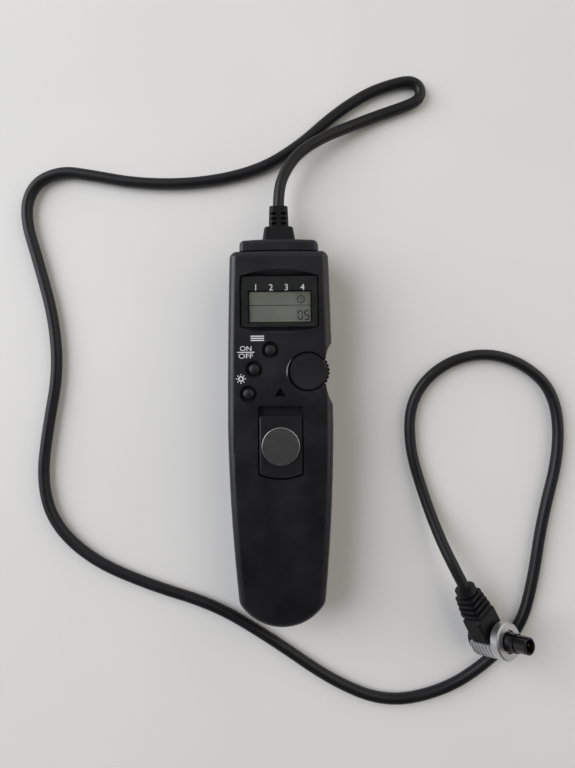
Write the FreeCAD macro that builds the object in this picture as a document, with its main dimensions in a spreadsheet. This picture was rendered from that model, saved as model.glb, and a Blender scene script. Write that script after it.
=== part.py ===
import FreeCAD, Part
import math
import os
import re

import Sketcher

# A handheld timer release for a camera. It lies on its back: +Z points up out of its face, +Y runs
# towards the cable, +X is to the right of the display. The origin is at the middle of the handset's
# back, on the surface that it lies on. The cable runs over that surface to an angled plug.
# All lengths are in millimetres, all angles in degrees.

Vector = FreeCAD.Vector

SIZES = [
    # casing
    ("body_length", 134.0, "handset, from the cap's end to the foot"),
    ("body_height", 19.0, "handset, from back to face"),
    ("seam_height", 8.5, "where the two shells meet"),
    ("wall", 1.8, "shell wall"),
    ("cap_length", 4.1, "part of the cap that stands out of the shells"),
    ("shoulder_half", 16.95, "half width at the cable end"),
    ("shoulder_drop", 0.4, "how far the end's arc falls at its corners"),
    ("hip_half", 17.8, "half width at the display's lower edge"),
    ("waist_half", 18.2, "half width at the widest place"),
    ("thigh_half", 17.0, "half width below the release button"),
    ("foot_half", 14.85, "half width where the foot's round starts"),
    ("foot_rise", 8.3, "height of the foot's round"),
    ("foot_corner", 4.5, "rounding between sides and foot"),
    ("cap_step", 3.3, "how much narrower the cap is than the shells, each side"),
    ("shoulder_corner", 2.6, "rounding of the upper corners"),
    ("face_round", 2.5, "rounding along the face's edge"),
    ("back_round", 2.4, "rounding along the back's edge"),
    ("notch_deep", 2.5, "depth of the finger notch beside the dial"),
    # finger notch beside the dial
    ("notch_upper", 5.1, "where its flat ends, above the dial's centre"),
    ("notch_lower", 4.5, "where its flat ends, below the dial's centre"),
    ("notch_upper_run", 4.8, "length of its upper slope"),
    ("notch_upper_bow", 0.7, "how far its upper slope bows at half way"),
    ("notch_upper_in", 0.35, "its upper end, inside the widest place"),
    ("notch_lower_run", 7.0, "length of its lower slope"),
    ("notch_lower_bow", 0.75, "how far its lower slope bows at half way"),
    ("notch_wall", 1.4, "wall behind the notch"),
    ("notch_root", 0.4, "how deep that wall stands in the casing's wall"),
    ("notch_ends", 1.0, "how far that wall runs past the notch's ends"),
    # cap at the cable end
    ("cap_inset", 1.6, "how far the cap stays inside face and back"),
    ("cap_arc", 0.5, "rise of the cap's end arc"),
    ("cap_corner", 2.0, "rounding of the cap's corners"),
    ("cap_round", 1.5, "rounding along the cap's edges"),
    ("neck_half", 7.6, "half width of the cap's neck, held between the shells"),
    ("neck_low", 4.0, "underside of the neck"),
    ("flange_lip", 0.9, "how far the cap's inner flange stands past its neck"),
    ("flange_thick", 1.4, "thickness of the cap's inner flange"),
    ("seam_gap", 0.15, "gap between fixed pieces at a visible seam"),
    # display
    ("window_half", 13.55, "half width of the display's recess"),
    ("window_side", 18.35, "height of the recess"),
    ("window_arch", 1.95, "rise of the scoop above the recess"),
    ("window_arch_low", 1.8, "fall of the scoop below the recess"),
    ("scoop_foot", 0.1, "width of a scoop at the recess's floor"),
    ("window_corner", 1.2, "rounding of the recess's and the clear cover's corners"),
    ("window_depth", 1.3, "depth of the recess"),
    ("window_thick", 1.0, "thickness of the clear cover"),
    ("view_half", 10.55, "half width of the visible display"),
    ("view_shift", 0.2, "its middle, right of the handset's middle"),
    ("view_low", 2.35, "its lower edge, above the recess's"),
    ("view_tall", 10.35, "its height"),
    ("panel_margin", 1.9, "display panel, past the visible part at its sides"),
    ("panel_margin_low", 1.7, "the same below the visible part"),
    ("panel_margin_high", 3.3, "the same above it, under the row of symbols"),
    ("panel_thick", 1.7, "thickness of the display panel"),
    ("panel_gap", 0.2, "gap between the panel and the face"),
    ("holder_lip", 0.6, "display holder, past the panel"),
    ("light_thick", 0.9, "thickness of the lighting plate"),
    ("light_margin", 0.1, "gap round the lighting plate"),
    ("strip_width", 1.2, "width of a rubber contact strip"),
    ("strip_inset", 0.5, "a strip's distance from the panel's edge"),
    ("strip_ends", 2.0, "how much a strip is shorter than the panel at each end"),
    ("light_clear", 0.6, "wall between a strip and the lighting plate"),
    ("light_ledge", 1.0, "ledge that the lighting plate lies on"),
    # circuit board
    ("board_thick", 1.0, "thickness of the board"),
    ("board_side", 4.8, "board's edge, inside the casing's widest place"),
    ("post_radius", 1.6, "posts that carry the board"),
    ("post_inset", 1.5, "lower posts, from the board's end"),
    ("board_screw_radius", 0.75, "shank of a board screw"),
    ("board_screw_head", 1.4, "head radius of a board screw"),
    ("board_screw_head_tall", 0.9, "head height of a board screw"),
    ("board_screw_long", 4.5, "shank length of a board screw"),
    ("screw_room", 0.5, "free end of a screw's hole"),
    ("chip_side", 8.0, "side of the controller chip"),
    ("chip_thick", 1.2, "its thickness"),
    ("crystal_long", 6.5, "length of the clock crystal"),
    ("crystal_radius", 1.0, "its radius"),
    ("crystal_side", 5.0, "its axis, inside the board's edge"),
    # housing screws
    ("boss_radius", 3.0, "screw boss of the rear shell"),
    ("front_boss_radius", 2.2, "screw boss of the front shell"),
    ("screw_radius", 0.95, "shank of a housing screw"),
    ("screw_pass", 1.15, "hole it passes through"),
    ("screw_head", 1.7, "head radius of a housing screw"),
    ("screw_head_tall", 1.2, "its height"),
    ("screw_sunk", 0.9, "how deep the head is sunk"),
    ("screw_long", 12.0, "its shank"),
    ("screw_well", 1.9, "radius of the well for a head"),
    ("screw_upper_side", 4.8, "the upper pair, inside the shoulder"),
    ("screw_middle_side", 5.6, "the middle pair, inside the widest place"),
    # press buttons
    ("mode_x", -3.25, "mode button, from the middle line"),
    ("start_x", -8.85, "start and stop button, from the middle line"),
    ("light_x", -10.9, "light button, from the middle line"),
    ("well_radius", 3.0, "round well of a button"),
    ("well_deep", 2.0, "depth of the well"),
    ("well_floor", 0.8, "floor of the well"),
    ("well_wall", 0.9, "wall round the well, under the face"),
    ("button_radius", 1.8, "radius of a button's cap"),
    ("button_gap", 0.3, "gap round the cap"),
    ("button_below", 0.3, "cap's edge below the face"),
    ("button_dome", 0.45, "height of the cap's dome"),
    ("button_flange", 2.6, "radius of the flange that keeps it in"),
    ("button_flange_thick", 0.8, "thickness of that flange"),
    ("button_pin", 0.9, "radius of the pin that presses the dome"),
    ("snap_radius", 2.5, "snap dome on the board"),
    ("snap_tall", 0.75, "its height"),
    ("snap_thick", 0.15, "its sheet"),
    ("snap_foot", 0.3, "width of its foot on the board"),
    ("snap_flat", 0.9, "radius of its flat top"),
    ("rest_gap", 0.05, "gap between a pin and its dome"),
    ("dial_side", 8.5, "dial's axis, inside the casing's widest place"),
    # dial
    ("dial_top_radius", 6.55, "disc that shows in the face"),
    ("dial_rim_radius", 7.4, "toothed rim"),
    ("dial_rim_tall", 4.1, "height of the rim"),
    ("dial_below", 0.15, "disc below the face"),
    ("dial_chamfer", 0.45, "chamfer of the disc"),
    ("dial_teeth", 32.0, "grooves round the rim"),
    ("dial_groove", 0.6, "width of a groove"),
    ("dial_groove_deep", 0.4, "depth of a groove"),
    ("dial_travel", 0.4, "how far the dial presses in"),
    ("dial_hole", 6.85, "round opening in the face"),
    ("dial_hole_shift", 0.2, "its centre, left of the dial's"),
    ("dial_mouth", 1.8, "opening towards the notch, from the notch's flat"),
    ("dial_mouth_trim", 0.7, "how much it stays below the notch's upper corner"),
    ("rim_slot_trim", 1.2, "rim's slot in the notch wall, inside the rim's ends"),
    ("rim_slot_in", 0.6, "how far that slot reaches behind the notch wall"),
    ("run_gap", 0.3, "clearance beside a moving piece"),
    ("axle_radius", 1.0, "dial's axle"),
    ("axle_fit", 0.05, "clearance of the dial on its axle"),
    ("axle_below", 1.7, "axle's end below the dial's top"),
    ("axle_room", 0.3, "room above the axle's end"),
    ("carrier_left", 5.2, "carrier, left of the axle"),
    ("carrier_right", 4.2, "carrier, right of the axle"),
    ("carrier_half", 5.0, "half width of the carrier"),
    ("carrier_thick", 2.0, "thickness of the carrier"),
    ("carrier_corner", 1.0, "rounding of its corners"),
    ("code_thick", 0.2, "contact disc under the dial"),
    ("code_radius", 6.0, "its radius"),
    ("code_bore", 1.4, "its bore"),
    ("wiper_thick", 0.15, "sheet of the wiper under that disc"),
    ("wiper_long", 3.4, "length of its fingers"),
    ("wiper_wide", 0.8, "width of a finger"),
    ("wiper_inset", 0.2, "wiper's root, inside the carrier's side"),
    ("leaf_thick", 0.2, "sheet of the small springs"),
    ("leaf_foot", 2.2, "foot of the dial's leaf spring"),
    ("leaf_wide", 3.5, "its width"),
    ("leaf_low", 1.0, "its upper edge below the dial's axis"),
    ("press_switch_side", 3.0, "side of the dial's switch"),
    ("press_switch_tall", 2.0, "its height"),
    # release button and its lock
    ("recess_half", 7.8, "half width of the release recess"),
    ("recess_above", 13.8, "its upper edge, past the disc's centre"),
    ("recess_below", 11.4, "its lower edge, past the disc's centre"),
    ("recess_deep", 2.6, "its depth"),
    ("recess_arc", 1.6, "rise of its lower arc"),
    ("recess_corner", 0.8, "rounding of its corners"),
    ("tray_thick", 1.2, "thickness of that floor"),
    ("tray_wall", 1.2, "wall round the recess"),
    ("lock_travel", 3.0, "how far the button slides to lock"),
    ("press_travel", 1.2, "how far it presses"),
    ("plate_gap", 0.35, "gap round the release plate"),
    ("plate_below", 0.05, "release plate below the face"),
    ("plate_edge_chamfer", 0.3, "chamfer along its edge"),
    ("disc_radius", 6.5, "metal disc on the plate"),
    ("disc_tall", 0.5, "its thickness"),
    ("disc_chamfer", 0.15, "chamfer of its rim"),
    ("stem_radius", 2.0, "stem under the plate"),
    ("stem_gap", 0.15, "gap between the stem and the common leaf"),
    ("lock_half", 6.5, "half width of the lock slider"),
    ("lock_reach", 7.0, "half length of the lock slider"),
    ("lock_thick", 1.7, "thickness of the lock slider"),
    ("lock_corner", 1.0, "rounding of its corners"),
    ("rail_wide", 1.0, "width of the rails beside it"),
    ("rail_lip", 0.8, "lips of those rails, under the slider"),
    ("leaf_half", 2.0, "half width of a contact leaf"),
    ("contact_thick", 0.15, "sheet of a contact leaf"),
    ("common_height", 2.1, "common leaf above the board"),
    ("half_height", 1.5, "half press leaf above the board"),
    ("full_height", 0.75, "full press leaf above the board"),
    ("leaf_reach", 5.5, "free end of the leaves, past the disc's centre"),
    ("block_back", 5.7, "contact block's upper side, behind the disc's centre"),
    ("block_long", 3.0, "its length"),
    ("block_half", 3.0, "its half width"),
    ("block_tall", 2.8, "its height"),
    ("arrow_half", 2.1, "lock arrow, half width"),
    ("arrow_tall", 3.1, "its height"),
    ("arrow_deep", 0.5, "how deep it is engraved"),
    # battery
    ("cell_radius", 10.0, "coin cell"),
    ("cell_thick", 3.2, "its thickness"),
    ("cell_edge", 0.4, "chamfer of its upper edge"),
    ("cell_gap", 0.4, "gap round the cell"),
    ("cell_rest", 0.5, "cell above its cover"),
    ("roof_gap", 0.6, "cell below the compartment's roof"),
    ("roof_thick", 1.1, "thickness of that roof"),
    ("house_side", 1.0, "wall beside the cover's recess"),
    ("house_foot", 0.2, "the same at its lower end"),
    ("house_head", 1.2, "the same at its upper end"),
    ("cover_half", 12.4, "half width of the battery cover"),
    ("cover_above", 11.6, "cover past the cell's centre, towards the cable"),
    ("cover_below", 17.0, "cover past the cell's centre, towards the foot"),
    ("cover_deep", 1.5, "depth of the cover's recess"),
    ("cover_inset", 0.1, "cover's outer face, inside the back"),
    ("cover_corner", 2.0, "rounding of the cover's corners"),
    ("cover_rest_outer", 7.2, "ring that carries the cell, outside"),
    ("cover_rest_inner", 6.0, "the same, inside"),
    ("cover_screw_place", 14.0, "its screw, past the cell's centre"),
    ("cover_screw_head", 1.7, "head radius of that screw"),
    ("cover_screw_head_tall", 0.6, "its height"),
    ("cover_screw_sunk", 0.7, "depth of the well for its head"),
    ("cover_screw_long", 4.6, "its shank"),
    ("strap_half", 1.5, "half width of the lower contact"),
    ("strap_thick", 0.3, "sheet of the battery contacts"),
    ("strap_room", 0.3, "room round a contact"),
    ("strap_in", 0.9, "lower contact's rise, inside the cell's edge"),
    ("side_in", 0.6, "side contact's rise, inside the cell's edge"),
    ("side_room", 1.8, "room in front of the side contact"),
    ("strap_reach", 5.0, "lower contact, past the cell's centre"),
    ("strap_end", 2.0, "contacts' ends, inside the board's end"),
    ("contact_lift", 0.1, "lower contact above the cell"),
    ("side_lift", 0.3, "side contact above the cell's underside"),
    ("side_contact_x", 5.2, "middle of the side contact"),
    # strain relief and cable
    ("cable_radius", 2.0, "cable"),
    ("cable_sides", 8.0, "sides of the cable's tube, which stands for a round one"),
    ("relief_base_long", 5.5, "wide foot of the strain relief"),
    ("relief_base_half", 5.9, "its half width at the cap"),
    ("relief_taper", 0.9, "how much narrower it gets"),
    ("relief_base_round", 1.1, "rounding of the foot"),
    ("relief_base_half_tall", 3.7, "its half height"),
    ("relief_neck_long", 7.2, "slotted neck"),
    ("relief_neck_half", 3.6, "half width of the neck at its foot"),
    ("relief_neck_taper", 0.35, "how much narrower it gets"),
    ("relief_neck_half_tall", 3.2, "half height of the neck"),
    ("relief_neck_round", 1.6, "rounding along the neck"),
    ("relief_stem", 3.2, "round stem through the cap"),
    ("relief_fit", 0.05, "clearance of the stem in the cap"),
    ("relief_flange", 4.4, "flange at the stem's end"),
    ("relief_flange_thick", 1.6, "its thickness"),
    ("slot_long", 1.8, "slot in the neck, across"),
    ("slot_wide", 0.85, "slot in the neck, along"),
    ("slot_deep", 1.2, "depth of a slot"),
    ("slot_inner", 0.85, "inner end of a slot, from the middle line"),
    ("slot_first", 0.9, "first slot, from the foot of the neck"),
    ("slot_pitch", 1.78, "from slot to slot"),
    ("tail_long", 3.2, "cable's jacket inside the handset"),
    ("lead_radius", 0.4, "one of the wires"),
    ("lead_pitch", 1.1, "from wire to wire"),
    ("connector_half", 3.6, "half width of the wires' connector"),
    ("connector_long", 4.5, "its length"),
    ("connector_tall", 2.6, "its height"),
    # plug
    ("plug_x", 79.1, "middle of the plug's front, across"),
    ("plug_y", -74.1, "middle of the plug's front, along"),
    ("plug_tilt", 56.0, "how far the plug points up"),
    ("plug_heading", 19.7, "where it points, from +X towards +Y"),
    ("plug_roll", 9.1, "how far the boot's arm rises"),
    ("floor_gap", 0.1, "boot's tail above the surface"),
    ("collar_radius", 6.4, "metal collar"),
    ("collar_long", 12.3, "its length"),
    ("collar_inner", 5.4, "its bore"),
    ("collar_front", 1.2, "its front wall"),
    ("collar_mouth", 3.9, "opening in the front wall"),
    ("collar_chamfer", 0.5, "chamfer of its front edge"),
    ("collar_ring", 3.1, "length of its closed ring"),
    ("collar_cut", 2.4, "height of the cut that lets the arm out"),
    ("collar_travel", 1.0, "how far it pulls back"),
    ("ridge_pitch", 1.5, "from grip ridge to grip ridge"),
    ("ridge_top", 0.75, "width of a ridge"),
    ("ridge_deep", 0.4, "depth between ridges"),
    ("ridge_slope", 0.15, "slope of a ridge's side"),
    ("ridge_first", 0.5, "first groove, behind the closed ring"),
    ("body_radius", 5.2, "boot's round body in the collar"),
    ("body_tail", 1.7, "body past the collar's rear"),
    ("arm_half", 5.3, "half width of the boot's arm"),
    ("arm_deep", 7.6, "depth of the arm along the plug"),
    ("arm_shoulder", 11.0, "where the ribs start"),
    ("arm_long", 21.3, "end of the boot, from the plug's axis"),
    ("arm_core", 2.7, "radius of the core between the ribs"),
    ("arm_corner", 1.1, "rounding along the arm"),
    ("arm_chamfer", 0.8, "chamfer where the ribs start"),
    ("rib_thick", 1.1, "thickness of a rib"),
    ("rib_pitch", 1.95, "from rib to rib"),
    ("rib_start", 0.75, "first rib, from the arm's shoulder"),
    ("rib_step", 0.6, "first rib, inside the arm's half width"),
    ("rib_rise", 0.35, "first rib, past the arm's half depth"),
    ("rib_slim", 0.4, "share of each rib's shrink that is taken in depth"),
    ("rib_corner", 1.6, "rounding of a rib's corners"),
    ("rib_shrink", 0.28, "how much each rib is smaller"),
    ("end_rib_thick", 2.0, "last, thick rib"),
    ("end_rib_radius", 3.7, "its radius"),
    ("core_flange", 5.1, "flange of the contact carrier"),
    ("core_flange_thick", 0.7, "its thickness"),
    ("root_radius", 3.3, "thick root of the post"),
    ("root_reach", 3.2, "root past the collar's front"),
    ("post_outer", 2.9, "post"),
    ("post_reach", 8.0, "post past the collar's front"),
    ("post_bore", 2.2, "hollow at the post's end"),
    ("post_bore_deep", 5.0, "depth of that hollow"),
    ("post_edge", 0.3, "chamfer at the post's end"),
    ("key_wide", 1.3, "keyway along the post"),
    ("key_deep", 0.5, "its depth"),
    ("sleeve_outer", 3.55, "bright sleeve round the post's root"),
    ("sleeve_back", 0.6, "its front, behind the collar's front"),
    ("pin_radius", 0.4, "contact pin"),
    ("pin_circle", 1.2, "radius of the pins' circle"),
    ("pin_long", 3.6, "length of a pin"),
    ("spring_inner", 4.1, "collar's spring, inside"),
    ("spring_outer", 4.8, "collar's spring, outside"),
    ("spring_end_gap", 0.05, "gap at each end of that spring"),
    ("join", 0.1, "how deep an added form starts inside its neighbour"),
    ("beyond", 1.0, "how far a cut runs past what it cuts"),
]

# Sizes that follow from the ones above.
DERIVED = {
    "half_length": "body_length / 2",
    # places along the handset are shares of its half length, so a longer one keeps its layout
    "hip_place": "0.47761 * half_length",    # side's width at the display's lower edge
    "waist_place": "0.02985 * half_length",    # widest place
    "thigh_place": "-0.47761 * half_length",    # side's width below the release button
    "window_low": "0.53582 * half_length",    # display recess, lower edge
    "board_bottom": "-0.25672 * half_length",    # board, lower end
    "board_top": "0.80448 * half_length",    # board, upper end
    "chip_place": "0.32836 * half_length",    # controller chip, middle
    "crystal_place": "0.14925 * half_length",    # clock crystal, middle
    "screw_upper_y": "0.86866 * half_length",    # upper pair of screws
    "screw_middle_y": "-0.30746 * half_length",    # middle pair of screws
    "screw_foot_y": "-0.90448 * half_length",    # foot's screw
    "mode_y": "0.42463 * half_length",    # mode button
    "start_y": "0.32687 * half_length",    # start and stop button
    "light_y": "0.20149 * half_length",    # light button
    "dial_y": "0.31343 * half_length",    # dial's axis
    "disc_place": "-0.06716 * half_length",    # release disc's centre
    "arrow_low": "0.18657 * half_length",    # lock arrow, base
    "cell_place": "-0.55224 * half_length",    # coin cell's centre
    "connector_place": "0.72388 * half_length",    # wires' connector, upper side
    # across and up, each follows what it sits in
    "notch_flat": "waist_half - notch_deep",
    "dial_x": "waist_half - dial_side",
    "screw_upper_x": "shoulder_half - screw_upper_side",
    "screw_middle_x": "waist_half - screw_middle_side",
    "board_half": "waist_half - board_side",
    "board_low": "carrier_low - run_gap - board_thick",
    "tray_floor": "body_height - recess_deep",
    "recess_top": "disc_place + recess_above",
    "recess_low": "disc_place - recess_below",
    "neck_high": "body_height - neck_low",
    "cable_height": "body_height / 2",
    "cap_half": "shoulder_half - cap_step",
    "shell_top": "half_length - cap_length",
    "shoulder_place": "shell_top - shoulder_drop",
    "foot_place": "foot_rise - half_length",
    "face_under": "body_height - wall",
    "board_face": "board_low + board_thick",
    "window_side_top": "window_low + window_side",
    "window_floor": "body_height - window_depth",
    "view_bottom": "window_low + view_low",
    "view_top": "view_bottom + view_tall",
    "panel_top": "face_under - panel_gap",
    "panel_low": "panel_top - panel_thick",
    "panel_left": "view_shift - view_half - panel_margin",
    "panel_right": "view_shift + view_half + panel_margin",
    "panel_bottom": "view_bottom - panel_margin_low",
    "panel_upper": "view_top + panel_margin_high",
    "strip_lower": "panel_bottom + strip_inset",
    "strip_upper": "panel_upper - strip_inset - strip_width",
    "light_left": "panel_left + strip_width + light_clear",
    "light_right": "panel_right - strip_width - light_clear",
    "light_bottom": "strip_lower + strip_width + light_clear",
    "light_upper": "strip_upper - light_clear",
    "notch_flat_top": "dial_y + notch_upper",
    "notch_flat_low": "dial_y - notch_lower",
    "flange_half": "neck_half + flange_lip",
    "flange_front": "shell_top - wall - shoulder_drop / 3 - seam_gap",
    "flange_back": "flange_front - flange_thick",
    "well_under": "body_height - well_deep - well_floor",
    "flange_top": "well_under - run_gap",
    "dial_top": "body_height - dial_below",
    "rim_top": "face_under - run_gap",
    "rim_low": "rim_top - dial_rim_tall",
    "code_low": "rim_low - code_thick",
    "carrier_top": "code_low - run_gap",
    "carrier_low": "carrier_top - carrier_thick",
    "axle_top": "dial_top - axle_below",
    "tray_low": "tray_floor - tray_thick",
    "plate_low": "tray_floor + press_travel + run_gap",
    "plate_top": "body_height - plate_below",
    "leaf_far": "disc_place + leaf_reach",
    "block_near": "disc_place - block_back",
    "plate_edge": "recess_top - lock_travel - plate_gap",
    "lock_top": "tray_low - run_gap",
    "lock_low": "lock_top - lock_thick",
    "stem_low": "board_face + common_height + contact_thick + stem_gap",
    "cover_face": "cover_deep",
    "cell_low": "cover_face + cell_rest",
    "cell_top": "cell_low + cell_thick",
    "roof_low": "cell_top + roof_gap",
    "roof_top": "roof_low + roof_thick",
    "cover_upper": "cell_place + cover_above",
    "cover_lower": "cell_place - cover_below",
    "cover_screw_y": "cell_place - cover_screw_place",
    "strap_rise": "cell_place + cell_radius - strap_in",
    "side_rise": "cell_place + cell_radius - side_in",
    "relief_root": "half_length",
    "relief_step": "relief_root + relief_base_long",
    "relief_end": "relief_step + relief_neck_long",
    "relief_back": "flange_back - seam_gap - relief_flange_thick",
    "tail_end": "relief_back - tail_long",
    "arm_front": "0 - collar_ring - collar_travel - run_gap",
    "arm_middle": "arm_front - arm_deep / 2",
    "arm_base": "collar_cut + run_gap + join",
    "core_back": "arm_front + join",
    "flange_end": "core_back + core_flange_thick",
    "sleeve_front": "0 - sleeve_back",
    "bore_floor": "post_reach - post_bore_deep",
}

# Places of the cable on the surface, between the straight lead out of the handset and the straight
# lead into the boot. They were chosen by hand.
CABLE_ROUTE = [
    (2.8, 94.0, 8.4),
    (7.5, 100.5, 7.4),
    (15.8, 106.3, 5.9),
    (26.3, 111.4, 3.4),
    (35.7, 115.5, 2.0),
    (45.7, 118.5, 2.0),
    (51.3, 120.6, 2.0),
    (53.0, 124.0, 2.0),
    (51.7, 127.7, 2.0),
    (48.2, 129.3, 2.0),
    (41.6, 127.0, 2.0),
    (32.7, 123.3, 2.0),
    (20.7, 115.4, 2.0),
    (7.4, 104.8, 2.0),
    (-7.7, 96.0, 2.0),
    (-29.0, 91.6, 2.0),
    (-51.5, 91.7, 2.0),
    (-69.8, 95.2, 2.0),
    (-80.6, 96.8, 2.0),
    (-91.0, 92.2, 2.0),
    (-94.6, 80.8, 2.0),
    (-88.9, 61.2, 2.0),
    (-83.9, 41.6, 2.0),
    (-82.6, 22.2, 2.0),
    (-86.6, 1.5, 2.0),
    (-89.1, -17.8, 2.0),
    (-85.0, -33.9, 2.0),
    (-71.1, -47.6, 2.0),
    (-49.5, -57.2, 2.0),
    (-25.2, -64.9, 2.0),
    (-4.4, -77.7, 2.0),
    (18.5, -94.0, 2.0),
    (38.5, -101.9, 2.0),
    (59.6, -97.5, 2.0),
    (75.5, -87.4, 2.0),
    (88.1, -74.4, 2.0),
    (92.9, -56.9, 2.0),
    (96.4, -34.6, 2.0),
    (103.4, -8.7, 2.0),
    (101.8, 12.2, 2.0),
    (90.4, 23.6, 2.0),
    (74.9, 28.0, 2.0),
    (59.0, 23.2, 2.0),
    (48.2, 10.8, 2.0),
    (47.3, -6.7, 2.0),
    (52.6, -25.5, 2.6),
    (57.5, -40.5, 6.6),
]
LEAD_OUT = 6.8    # straight out of the strain relief
LEAD_IN = 7.0     # straight into the boot

document = FreeCAD.newDocument("timer_release")
sheet = document.addObject("Spreadsheet::Sheet", "Sizes")
for row, (alias, value, meaning) in enumerate(SIZES, start=1):
    sheet.set("A%d" % row, alias)
    sheet.set("B%d" % row, str(value))
    sheet.setAlias("B%d" % row, alias)
    sheet.set("C%d" % row, meaning)
document.recompute()
ALIASES = {alias for alias, value, meaning in SIZES}

parts = []


def bound(text):
    """Write a size expression out in the sheet's cells."""
    def cell(match):
        word = match.group(0)
        if word in DERIVED:
            return "(" + bound(DERIVED[word]) + ")"
        if word in ALIASES:
            return "Sizes." + word
        return word
    return re.sub(r"[a-z][a-z_]*[a-z]", cell, str(text))


def number(text):
    """The present value of a size expression."""
    return float(sheet.evalExpression(bound(text)))


def new_body(label):
    """An empty body for one piece."""
    body = document.addObject("PartDesign::Body", label)
    body.Label = label
    parts.append(body)
    return body


def new_sketch(body, height="0", plane="XY_Plane"):
    """A sketch on one of the body's own planes, moved along that plane's normal."""
    sketch = body.newObject("Sketcher::SketchObject", body.Label + "_sketch")
    origin = [f for f in body.Origin.OriginFeatures if f.Role == plane][0]
    sketch.AttachmentSupport = (origin, "")
    sketch.MapMode = "FlatFace"
    sketch.setExpression("AttachmentOffset.Base.z", bound(height))
    return sketch


def pin_point(sketch, geometry, position, x, y):
    """Bind one point of a sketch to two size expressions."""
    for kind, text in (("DistanceX", x), ("DistanceY", y)):
        rule = Sketcher.Constraint(kind, -1, 1, geometry, position, number(text))
        name = "place_%d" % sketch.addConstraint(rule)
        sketch.renameConstraint(sketch.ConstraintCount - 1, name)
        sketch.setExpression("Constraints." + name, bound(text))


def draw_path(sketch, corners, through=None):
    """A closed outline. through gives the point that the arc after a corner passes."""
    through = through or {}
    spots = [Vector(number(x), number(y), 0) for x, y in corners]
    pieces = []
    for i, start in enumerate(spots):
        end = spots[(i + 1) % len(spots)]
        if i in through:
            middle = Vector(number(through[i][0]), number(through[i][1]), 0)
            pieces.append(sketch.addGeometry(Part.Arc(start, middle, end), False))
        else:
            pieces.append(sketch.addGeometry(Part.LineSegment(start, end), False))

    def end_near(i, spot):
        """Which end of a piece lies at a corner: arcs are stored anticlockwise."""
        first = sketch.getPoint(pieces[i], 1)
        last = sketch.getPoint(pieces[i], 2)
        return 1 if (first - spot).Length < (last - spot).Length else 2

    for i, (x, y) in enumerate(corners):
        before = (i - 1) % len(corners)
        here = end_near(i, spots[i])
        rule = Sketcher.Constraint("Coincident", pieces[before], end_near(before, spots[i]),
                                   pieces[i], here)
        sketch.addConstraint(rule)
        pin_point(sketch, pieces[i], here, x, y)
    for i, (x, y) in through.items():
        mark = sketch.addGeometry(Part.Point(Vector(number(x), number(y), 0)), True)
        pin_point(sketch, mark, 1, x, y)
        sketch.addConstraint(Sketcher.Constraint("PointOnObject", mark, 1, pieces[i]))


def draw_box(sketch, left, right, low, high):
    """A rectangle between four size expressions."""
    draw_path(sketch, [(left, low), (right, low), (right, high), (left, high)])


def draw_circle(sketch, x, y, radius):
    """A circle with its centre and radius bound."""
    centre = Vector(number(x), number(y), 0)
    circle = sketch.addGeometry(Part.Circle(centre, Vector(0, 0, 1), number(radius)), False)
    pin_point(sketch, circle, 3, x, y)
    index = sketch.addConstraint(Sketcher.Constraint("Radius", circle, number(radius)))
    name = "round_%d" % index
    sketch.renameConstraint(index, name)
    sketch.setExpression("Constraints." + name, bound(radius))


def feature(body, kind, sketch, length, back):
    """A pad or pocket of one sketch, checked against the volume before it."""
    before = body.Shape.Volume if body.Tip else 0.0
    made = body.newObject("PartDesign::" + kind, body.Label + "_" + kind.lower())
    made.Profile = sketch
    made.setExpression("Length", bound(length))
    made.Reversed = back
    sketch.Visibility = False
    body.Tip = made
    document.recompute()
    change = body.Shape.Volume - before
    if (change <= 0) if kind == "Pad" else (change >= 0):
        raise RuntimeError("%s of %s changed nothing" % (kind, body.Label))
    return made


def pad(body, sketch, length, back=False):
    """Add material from the sketch, along its plane's normal or back."""
    return feature(body, "Pad", sketch, length, back)


def pocket(body, sketch, length, back=False):
    """Remove material below the sketch, or above it."""
    return feature(body, "Pocket", sketch, length, back)


def revolve(body, corners, through=None):
    """A turned piece: the outline is given as radius and height."""
    sketch = new_sketch(body, plane="XZ_Plane")
    draw_path(sketch, corners, through)
    made = body.newObject("PartDesign::Revolution", body.Label + "_turned")
    made.Profile = sketch
    made.ReferenceAxis = (sketch, ["V_Axis"])
    made.Angle = 360
    body.Tip = made
    document.recompute()
    return made


def soften(body, chosen, radius, kind="Fillet"):
    """Round or chamfer the edges of the present shape that a test picks."""
    base = body.Tip
    names = ["Edge%d" % i for i, edge in enumerate(base.Shape.Edges, start=1) if chosen(edge)]
    if not names:
        raise RuntimeError("no edge to soften on " + body.Label)
    made = body.newObject("PartDesign::" + kind, body.Label + "_" + kind.lower())
    made.Base = (base, names)
    made.setExpression("Radius" if kind == "Fillet" else "Size", bound(radius))
    body.Tip = made
    document.recompute()
    return made


def upright(edge):
    """Whether an edge runs straight up."""
    box = edge.BoundBox
    return box.ZLength > 0.01 and box.XLength < 0.001 and box.YLength < 0.001


def level(edge, height):
    """Whether an edge lies flat at a height."""
    return edge.BoundBox.ZLength < 0.001 and abs(edge.BoundBox.ZMin - height) < 0.001


def crown(radius, foot, rise):
    """Half way point of a dome's outline, with the dome's centre on the turning axis."""
    ball = "((%s)^2 + (%s)^2) / (2 * (%s))" % (radius, rise, rise)
    half = "(%s) / 2" % radius
    return half, "%s + (%s) - (%s) + sqrt((%s)^2 - (%s)^2)" % (foot, rise, ball, ball, half)


def block(label, left, right, low, high, bottom, top):
    """A plain block as a body of its own."""
    body = new_body(label)
    sketch = new_sketch(body, bottom)
    draw_box(sketch, left, right, low, high)
    pad(body, sketch, "(%s) - (%s)" % (top, bottom))
    return body


def disc(label, x, y, radius, bottom, top):
    """A plain disc as a body of its own."""
    body = new_body(label)
    sketch = new_sketch(body, bottom)
    draw_circle(sketch, x, y, radius)
    pad(body, sketch, "(%s) - (%s)" % (top, bottom))
    return body


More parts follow.
